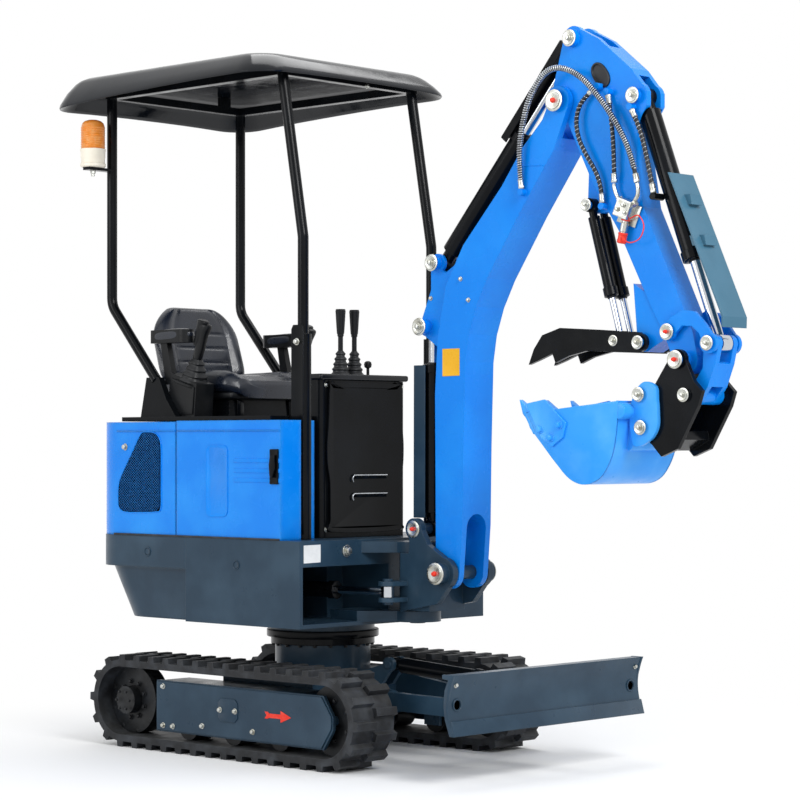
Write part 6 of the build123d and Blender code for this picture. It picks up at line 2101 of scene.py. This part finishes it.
@dataclass
class House:
    """Details of the counterweight, the platform and the posts' plates."""

    carriers: Carriers

    def ring_hole(self, name: str, node: str, u: float, v: float, radius: float) -> None:
        """Makes a rimmed hole on a node's face, its bottom a dark disc of painted shade.

        Args:
            name: The piece's name.
            node: The node that carries it.
            u: Its picture point, across.
            v: Its picture point, down.
            radius: Its radius in millimetres.
        """
        node, seat, normal = self.carriers.first(View.AT, View.ray(u, v), (node, "upper_frame"))
        body = self.carriers.body(node)
        rim = drum(name + "_rim", seat - normal * 1 * MM, seat + normal * 3 * MM, radius * 1.35 * MM, 40)
        low = (seat + normal * 2.9 * MM).dot(normal)
        inset(rim, lambda middle, way: way.dot(normal) > 0.9 and middle.dot(normal) > low,
              radius * 0.35 * MM, 2.2 * MM)
        dress(soften(rim, 0.8 * MM, 2), SLATE_ENAMEL, body)
        # The hole's bottom is a dark disc of painted shade
        hole = drum(name, seat - normal * 1 * MM, seat + normal * 1.2 * MM, radius * MM, 32)
        inset(hole, lambda middle, way: way.dot(normal) > 0.9, radius * 0.2 * MM, 0.8 * MM)
        dress(hole, PAINTED_SHADE, body, "black_paint")

    def foil(
        self, name: str, node: str, corners: Sequence[tuple[float, float]], finish: Finish, rim: float = 1.2
    ) -> None:
        """Makes a blank foil on a node's face, with a border pressed in it.

        Args:
            name: The piece's name.
            node: The node that carries it.
            corners: Its corners in the picture.
            finish: Its finish.
            rim: The border's width in millimetres.
        """
        plate = sheet_seen(self.carriers, name, node, corners, -0.3, 1.5)
        select(plate, "FACE", lambda middle, normal: normal.dot((View.AT - middle).normalized()) > 0.3)
        bpy.ops.mesh.inset(thickness=rim * MM, depth=-0.3 * MM)
        leave_edit()
        dress(soften(plate, 0.35 * MM, 2), finish, self.carriers.body(node))

    def build(self) -> None:
        """Makes the house's details."""
        self.ring_hole("lifting_hole_right", "counterweight", 236.2, 565.0, 11)
        self.ring_hole("recess_right", "counterweight", 147.5, 551.5, 12)
        node, _, _ = self.carriers.first(View.AT, View.ray(311, 556), ("counterweight", "upper_frame"))
        self.foil("white_plate", node, ((303.6, 545.6), (320.4, 544.6), (320.4, 562.4), (303.6, 563.6)),
                  WHITE_FOIL)
        seat, normal = self.carriers.seen("upper_frame", 346.5, 551.0)
        eye = hex_bolt("platform_bolt_right", seat, normal, 24 * MM, 1.6)
        dress(eye, PLATED_ZINC, "house", "zinc_plate")
        for side_name, front_dx, y_low, y_high in (("right", 236, -431.5, -422), ("left", -232, 422, 431.5)):
            outline = [(-560, 702.6), (front_dx, 702.6), (front_dx, 709), (-560, 709)]
            seal = outline_prism(f"hood_seal_{side_name}", outline, y_low, y_high)
            dress(soften(seal, 2 * MM, 3), TRACK_RUBBER, "house")
        for hand, side_name in ((-1, "right"), (1, "left")):
            y_low, y_high = sorted((hand * 322, hand * 327.5))
            strap = outline_prism(
                f"post_plate_{side_name}",
                [(186, 720), (240, 720), (240, 1370), (232, 1384), (194, 1384), (186, 1370)], y_low, y_high,
            )
            inset(strap, lambda middle, normal, hand=hand: normal.y * hand > 0.9, 5 * MM, 1.2 * MM)
            dress(soften(strap, 1.5 * MM, 2), BLACK_ENAMEL, "house")
            for number, z in enumerate((760, 960, 1060, 1330)):
                bolt = hex_bolt(
                    f"post_bolt_{side_name}_{number}", spot(213, hand * 327, z), Vector((0, hand, 0)), 17 * MM
                )
                dress(bolt, PLATED_ZINC, "house", "zinc_plate")
        ring = drum("slew_bearing_ring", Vector((SLEW_X, 0, 0.3714)), Vector((SLEW_X, 0, 0.396)), 0.186, 72)
        inset(ring, lambda middle, normal: normal.z < -0.9, 9 * MM, 1 * MM)
        dress(soften(ring, 3 * MM, 3), BLACK_ENAMEL, "house")
        bolts = []
        for k in range(20):
            turn = 2 * math.pi * k / 20
            seat = Vector((SLEW_X + 0.165 * math.cos(turn), 0.165 * math.sin(turn), 0.3504))
            bolts.append(hex_bolt("slew_bolt", seat, Vector((0, 0, -1)), 12 * MM))
        dress(join("slew_bolts", bolts), CAST_STEEL, "undercarriage")


@dataclass
class Undercarriage:
    """Track frames and wheels: bolted covers with a blank panel and an arrow, sprocket teeth and bolts."""

    cover_y: float = 425.0
    wheel_y: float = 390.0
    sprocket: tuple[float, float] = (-505.0, 153.0)
    idler: tuple[float, float] = (447.0, 153.0)

    def cover(self, hand: int, name: str) -> None:
        """Makes the skin of one track cover, with its inspection panel and bolts.

        Args:
            hand: -1 for the right, 1 for the left.
            name: The side's name.
        """
        y = hand * self.cover_y
        low, high = sorted((y, y + hand * 5))
        outline = [
            (-343, 68), (424, 68), (466, 130), (468, 150), (466, 170), (424, 227), (-343, 227),
        ]
        skin = outline_prism(f"track_cover_{name}", outline, low, high)
        inset(skin, lambda middle, normal: normal.y * hand > 0.9, 7 * MM, 1.4 * MM)
        dress(soften(skin, 1.4 * MM, 2), SLATE_ENAMEL, "undercarriage")
        face = y + hand * 3.6
        low, high = sorted((face, face + hand * 3))
        panel = outline_prism(
            f"inspection_panel_{name}",
            [(-30, 118), (35, 118), (48, 132), (48, 178), (35, 192), (-30, 192), (-43, 178), (-43, 132)],
            low, high,
        )
        dress(soften(panel, 1 * MM, 2), SLATE_ENAMEL, "undercarriage")
        bolts = ((-33, 155), (38, 155), (-120, 96), (118, 96), (-310, 84), (-262, 84), (-310, 212))
        for number, (dx, z) in enumerate(bolts):
            seat = spot(dx, face + hand * (2.6 if number < 2 else 0), z)
            bolt = hex_bolt(f"cover_bolt_{name}_{number}", seat, Vector((0, hand, 0)), 14 * MM)
            dress(bolt, PLATED_ZINC, "undercarriage", "zinc_plate")
        low, high = sorted((face, face + hand * 1.4))
        arrow = outline_prism(
            f"travel_arrow_{name}",
            [(172, 143), (186, 143), (192, 146), (244, 146), (244, 134), (292, 153), (244, 172), (244, 160),
             (192, 160),
             (186, 165), (172, 165), (180, 154)], low, high,
        )
        dress(soften(arrow, 0.4 * MM, 1), RED_PVC, "undercarriage")

    def wheel(self, centre: tuple[float, float], hand: int, name: str, toothed: bool) -> None:
        """Makes the visible face of a sprocket or an idler.

        Args:
            centre: Its axle, from the slew centre.
            hand: -1 for the right, 1 for the left.
            name: The piece's name.
            toothed: Whether it is a sprocket.
        """
        out = Vector((0, hand, 0))
        hub = spot(centre[0], hand * self.wheel_y, centre[1])
        disc = turned(
            "wheel_disc", hub - out * 3 * MM, out,
            [(0, 100), (4, 101), (8, 99), (8.5, 78), (5, 72), (5, 50), (9, 46), (10, 40)], 56,
        )
        parts = [disc]
        if toothed:
            for k in range(9):
                turn = 2 * math.pi * k / 9
                middle = hub + Vector((math.cos(turn) * 106 * MM, 0, math.sin(turn) * 106 * MM))
                tooth = drum("sprocket_tooth", middle - out * 14 * MM, middle + out * 1 * MM, 10 * MM, 12,
                             8 * MM)
                parts.append(soften(tooth, 1.5 * MM, 2))
        bolts = 9 if toothed else 6
        for k in range(bolts):
            turn = 2 * math.pi * (k + 0.5) / bolts
            middle = hub + Vector((math.cos(turn) * 61 * MM, 0, math.sin(turn) * 61 * MM)) + out * 1.6 * MM
            parts.append(hex_bolt("wheel_bolt", middle, out, 13 * MM))
        if toothed:
            motor = turned(
                "motor_cap", spot(centre[0], hand * 424.6, centre[1]), out,
                [(0, 45), (3, 45.5), (9, 44), (11, 38), (11.5, 22), (9.5, 20), (9.5, 6)], 48,
            )
            parts.append(motor)
            for k in range(6):
                turn = 2 * math.pi * k / 6
                middle = spot(centre[0] + 32 * math.cos(turn), hand * 435.2, centre[1] + 32 * math.sin(turn))
                parts.append(hex_bolt("motor_bolt", middle, out, 9 * MM))
        dress(join(name, parts), CAST_STEEL, "undercarriage")

    def build(self) -> None:
        """Makes both sides."""
        for hand, name in ((-1, "right"), (1, "left")):
            self.cover(hand, name)
            self.wheel(self.sprocket, hand, f"sprocket_face_{name}", True)
            self.wheel(self.idler, hand, f"idler_face_{name}", False)


@dataclass
class Blade:
    """The dozer blade's bolted edge, end plates and stiffeners."""

    face_dx: float = 995.0

    def build(self) -> None:
        """Makes the blade's details."""
        edge = outline_prism(
            "blade_cutting_edge", [(989, 152), (996.5, 151.5), (984, 196), (976, 196)], -449.5, 449.5
        )
        dress(soften(edge, 1.5 * MM, 2), SLATE_ENAMEL, "blade")
        for hand, name in ((-1, "right"), (1, "left")):
            low, high = sorted((hand * 441.0, hand * 450.5))
            end = outline_prism(
                f"blade_end_{name}",
                [(996, 151), (983, 175), (971, 205), (967, 240), (972, 275), (982, 308), (991, 331),
                 (947, 331), (947, 318),
                 (970, 316), (956, 285), (952, 240), (957, 200), (970, 165), (976, 151)], low, high,
            )
            dress(soften(end, 1.2 * MM, 2), SLATE_ENAMEL, "blade")
            for level, z in enumerate((178, 300)):
                bolt = hex_bolt(f"blade_bolt_{name}_{level}", spot(976, hand * 424, z), Vector((1, 0, 0.1)),
                                12 * MM)
                dress(bolt, PLATED_ZINC, "blade", "zinc_plate")
            ring = turned(
                f"tie_hole_ring_{name}", spot(968.2, hand * 410, 240.5), Vector((1, 0, 0)),
                [(0, 20), (3.6, 20), (4.6, 18.6), (4.6, 16), (3.6, 14.6), (0, 14.6)], 40,
            )
            dress(ring, SLATE_ENAMEL, "blade")
            rib = outline_prism(
                f"blade_rib_{name}", [(952, 318), (925, 300), (900, 230), (905, 185), (955, 172), (952, 240)],
                hand * 290 - 5, hand * 290 + 5,
            )
            dress(soften(rib, 1.5 * MM, 2), SLATE_ENAMEL, "blade")


@dataclass
class Rams:
    """Gland nuts on every ram's barrel, the guards, and the rods' wiper seals."""

    carriers: Carriers

    RAMS = (
        ("boom_ram", "boom_barrel", (499, 738), (501, 1377), 520, 32, 16, 0.0),
        ("arm_ram", "arm_barrel", (549, 1577), (1107, 2223), 505, 32, 16, 0.0),
        ("bucket_ram", "bucket_barrel", (1346, 2029), (1620, 1295), 520, 32, 16, 0.0),
        ("thumb_ram_right", "thumb_barrel", (1164, 1720), (1280, 1311), 285, 18, 10, -26.0),
        ("thumb_ram_left", "thumb_barrel", (1164, 1720), (1280, 1311), 285, 18, 10, 26.0),
        ("blade_ram", "blade_barrel", (330, 296), (880, 262), 380, 25, 13, 0.0),
    )

    def build(self) -> None:
        """Makes the glands, wipers and guards."""
        for name, body, base, eye, length, barrel, rod, y in self.RAMS:
            start, end = spot(base[0], y, base[1]), spot(eye[0], y, eye[1])
            way = (end - start).normalized()
            head = start + way * length * MM
            gland = turned(
                name + "_gland", head - way * 26 * MM, way,
                [(0, barrel + 0.4), (1.5, barrel + 2.6), (19, barrel + 2.6), (21, barrel), (27, barrel - 1),
                 (28.5, barrel - 4), (29, rod + 2.5), (29.6, rod + 0.6)], 40,
            )
            dress(gland, BLACK_ENAMEL, body)
            ring = turned(
                name + "_wiper", head + way * 3 * MM, way,
                [(0, rod + 3.5), (3, rod + 3.5), (4.5, rod + 1.2), (4.5, rod + 0.5)], 32
            )
            dress(ring, BOOT_RUBBER, body, "black_plastic")
        self.arm_guard()
        self.boom_guard()

    def channel(
        self, name: str, start: Vector, end: Vector, out: Vector, sizes: tuple[float, float, float],
        finish: Finish, body: str,
    ) -> None:
        """Makes a folded channel along a ram.

        Args:
            name: The piece's name.
            start: The ram's axis at the channel's first end.
            end: The axis at its other end.
            out: The side that its web is on.
            sizes: The web's distance from the axis, its half width and the flanges' depth.
            finish: Its finish.
            body: The body that it rides on.
        """
        offset, half, flange = sizes
        way = (end - start).normalized()
        side = Vector((0, 1, 0))
        out = (out - way * out.dot(way)).normalized()
        wall = 3.5
        section = [
            (-half, offset - flange), (-half, offset - 4), (-half + 4, offset), (half - 4, offset),
            (half, offset - 4),
            (half, offset - flange), (half - wall, offset - flange), (half - wall, offset - 5),
            (half - 6, offset - wall), (-half + 6, offset - wall), (-half + wall, offset - 5),
            (-half + wall, offset - flange),
        ]
        rings = [[point + side * a * MM + out * b * MM for a, b in section] for point in (start, end)]
        piece = loft(name, rings)
        dress(soften(piece, 0.9 * MM, 2), finish, body)

    def arm_guard(self) -> None:
        """Makes the black channel over the arm ram's rod."""
        base, eye = spot(549, 0, 1577), spot(1107, 0, 2223)
        way = (eye - base).normalized()
        out = Vector((-way.z, 0, way.x))
        low, high = eye - way * 395 * MM, eye - way * 34 * MM
        self.channel("arm_ram_guard", low, high, out, (45, 40, 30), BLACK_ENAMEL, "arm_rod")

    def boom_guard(self) -> None:
        """Makes the slate channel behind the boom ram."""
        base, eye = spot(499, 0, 738), spot(501, 0, 1377)
        way = (eye - base).normalized()
        low, high = base + way * 34 * MM, base + way * 518 * MM
        self.channel("boom_ram_guard", low, high, Vector((-1, 0, 0)), (48, 46, 52), SLATE_ENAMEL,
                     "boom_barrel")


@dataclass
class Boom:
    """The boom's details: welds along its box, bolts, a grommet and the blank yellow plate."""

    carriers: Carriers

    def weld(self, name: str, node: str, line: Sequence[tuple[float, float]]) -> None:
        """Makes a painted weld bead over a node's side, through picture points.

        Args:
            name: The piece's name.
            node: The node.
            line: Picture points along the weld.
        """
        points = [self.carriers.seen(node, u, v)[0] for u, v in line]
        bead = round_bar(name, points, 1.7)
        dress(bead, AZURE_ENAMEL, self.carriers.body(node))

    def build(self) -> None:
        """Makes the boom's and the arm's details."""
        house = House(self.carriers)
        house.foil("yellow_plate", "boom", ((442.6, 349), (459.6, 348.4), (459.6, 375.6), (442.6, 376.4)),
                   YELLOW_FOIL)
        self.weld("boom_weld", "boom", [(519 + t * 4.2, 166 - t * 0.1) for t in range(8)])
        for number, (u, v) in enumerate(((460.8, 279), (431, 298.5), (468.5, 300))):
            try:
                seat, normal = self.carriers.seen("boom", u, v)
            except ValueError:
                continue
            bolt = hex_bolt(f"boom_bolt_{number}", seat, normal, 11 * MM)
            dress(bolt, PLATED_ZINC, "boom", "zinc_plate")
        seat, _ = self.carriers.seen("arm", 601, 75)
        along, beside = Vector((0.62, 0, -0.78)), Vector((0.78, 0, 0.62))
        rings = []
        for rise, half_a, half_b in ((0.4, 44, 27), (5, 43, 26), (5.6, 38, 21), (1.2, 36, 19)):
            centre = seat - Vector((0, rise * MM, 0))
            rings.append(oval(centre, along, beside, half_a * MM, half_b * MM, 2.2, 48))
        grommet = loft("arm_hose_grommet", rings)
        dress(grommet, BOOT_RUBBER, "arm", "black_plastic")


@dataclass
class Valve:
    """The valve block with its pipes, fittings, quick coupler, red dust cap and strap."""

    centre: tuple[float, float] = (1322.0, 1698.0)
    side_y: float = -43.4

    WAY = Vector((-22, 0, -92)).normalized()

    def stem(self, along: float = 0.0) -> Vector:
        """A point on the coupler's axis, in millimetres from its start."""
        return spot(self.centre[0] + 3, self.side_y - 19, self.centre[1] - 24) + self.WAY * along * MM

    def casting(self) -> list[Piece]:
        """Makes the valve's body on its plate, with its screws.

        Returns:
            The parts.
        """
        x, z = self.centre
        body = outline_prism(
            "valve_body", [(x - 36, z - 16), (x - 14, z + 34), (x + 36, z + 14), (x + 14, z - 36)],
            self.side_y - 38, self.side_y - 6,
        )
        inset(body, lambda middle, normal: normal.y < -0.9, 7 * MM, 1.5 * MM)
        soften(body, 2 * MM, 3)
        plate = outline_prism(
            "valve_plate", [(x - 44, z - 34), (x - 16, z + 30), (x + 50, z + 2), (x + 24, z - 58)],
            self.side_y - 6, self.side_y,
        )
        soften(plate, 1 * MM, 2)
        parts = [body, plate]
        for dx, dz in ((-16, -2), (6, 8), (12, -14)):
            seat = spot(x + dx, self.side_y - 37, z + dz)
            parts.append(hex_bolt("valve_screw", seat, Vector((0, -1, 0)), 12 * MM))
        return parts

    def pipes(self) -> list[Piece]:
        """Makes the pipes, their nuts and the coupler's body.

        Returns:
            The parts.
        """
        x, z = self.centre
        mid_y = self.side_y - 19
        parts = []
        for name, line in (
            (
                "valve_pipe_over",
                ((1364.6, -61.9, 1769), (1367.5, -61.5, 1752), (1366, -61.6, 1734), (1356, -62, 1718),
                 (1346, -62.2, 1708)),
            ),
            (
                "valve_pipe_rise",
                ((1279.8, -61.9, 1774), (1280, -61.8, 1762), (1288, -62, 1742), (1300, -62.3, 1722),
                 (1310, -62.4, 1706)),
            ),
        ):
            parts.append(round_bar(name, rounded_outline([spot(*place) for place in line], 5, False), 6.3))
        for dx, dz in ((42, 16), (-22, 30)):
            toward = Vector((dx, 0, dz)).normalized()
            start = spot(x + dx * 0.6, mid_y, z + dz * 0.6)
            parts.append(drum("valve_nut", start, start + toward * 16 * MM, 11 * MM, 6))
        profile = [(0, 13), (8, 13), (9, 9.5), (18, 9.5), (19, 12), (44, 12), (45, 10.2), (52, 10.2)]
        parts.append(turned("coupler_body", self.stem(), self.WAY, profile, 28))
        return parts

    def cap(self) -> None:
        """Makes the red dust cap with its strap and ring."""
        cap = turned(
            "dust_cap", self.stem(48), self.WAY,
            [(0, 12), (1, 14.4), (6, 14.4), (7, 13.2), (20, 13.2), (22, 14.2), (30, 14), (32, 11),
             (32.5, 4)], 32,
        )
        dress(cap, RED_PVC, "arm")
        loop = ((6, -14, 0), (36, -15, -20), (74, -14, -10), (88, -12, 26), (66, -10, 58))
        line = [self.stem(60) + Vector(step) * MM for step in loop] + [self.stem(10) + Vector((13, -4, 0)) * MM]
        strap = round_bar("dust_cap_strap", rounded_outline(line, 8, False), 2.0)
        dress(strap, RED_PVC, "arm")
        collar = turned("strap_ring", self.stem(8), self.WAY, [(0, 11), (1, 13.6), (4, 13.6), (5, 11)], 28)
        dress(collar, RED_PVC, "arm")

    def build(self) -> None:
        """Makes the valve block in place of its CAD solid."""
        block_piece = join("valve_assembly", self.casting() + self.pipes())
        dress(block_piece, PLATED_ZINC, "arm", "zinc_plate")
        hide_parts("valve_block")
        self.cap()


def main() -> None:
    """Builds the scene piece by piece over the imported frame."""
    logging.basicConfig(level=logging.INFO, format="%(name)s: %(message)s")
    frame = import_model()
    Studio().build()
    for hose in HOSES:
        hose.build()
        log.info("hose %s", hose.name)
    carriers = Carriers({name: frame["nodes"][name] for name in CAD_FINISHES})
    dress_cad(frame["nodes"])
    log.info("pin ends: %d", PinEnds(carriers).build())
    Roof().build(carriers)
    for part in (
        Hood(carriers),
        House(carriers),
        Undercarriage(),
        Blade(),
        Rams(carriers),
        Boom(carriers),
        Valve(),
        Seat(),
        Levers(),
        Console(carriers),
        Beacon(),
        Bucket(),
    ):
        part.build()
        log.info("made %s", type(part).__name__)


if __name__ == "__main__":
    main()
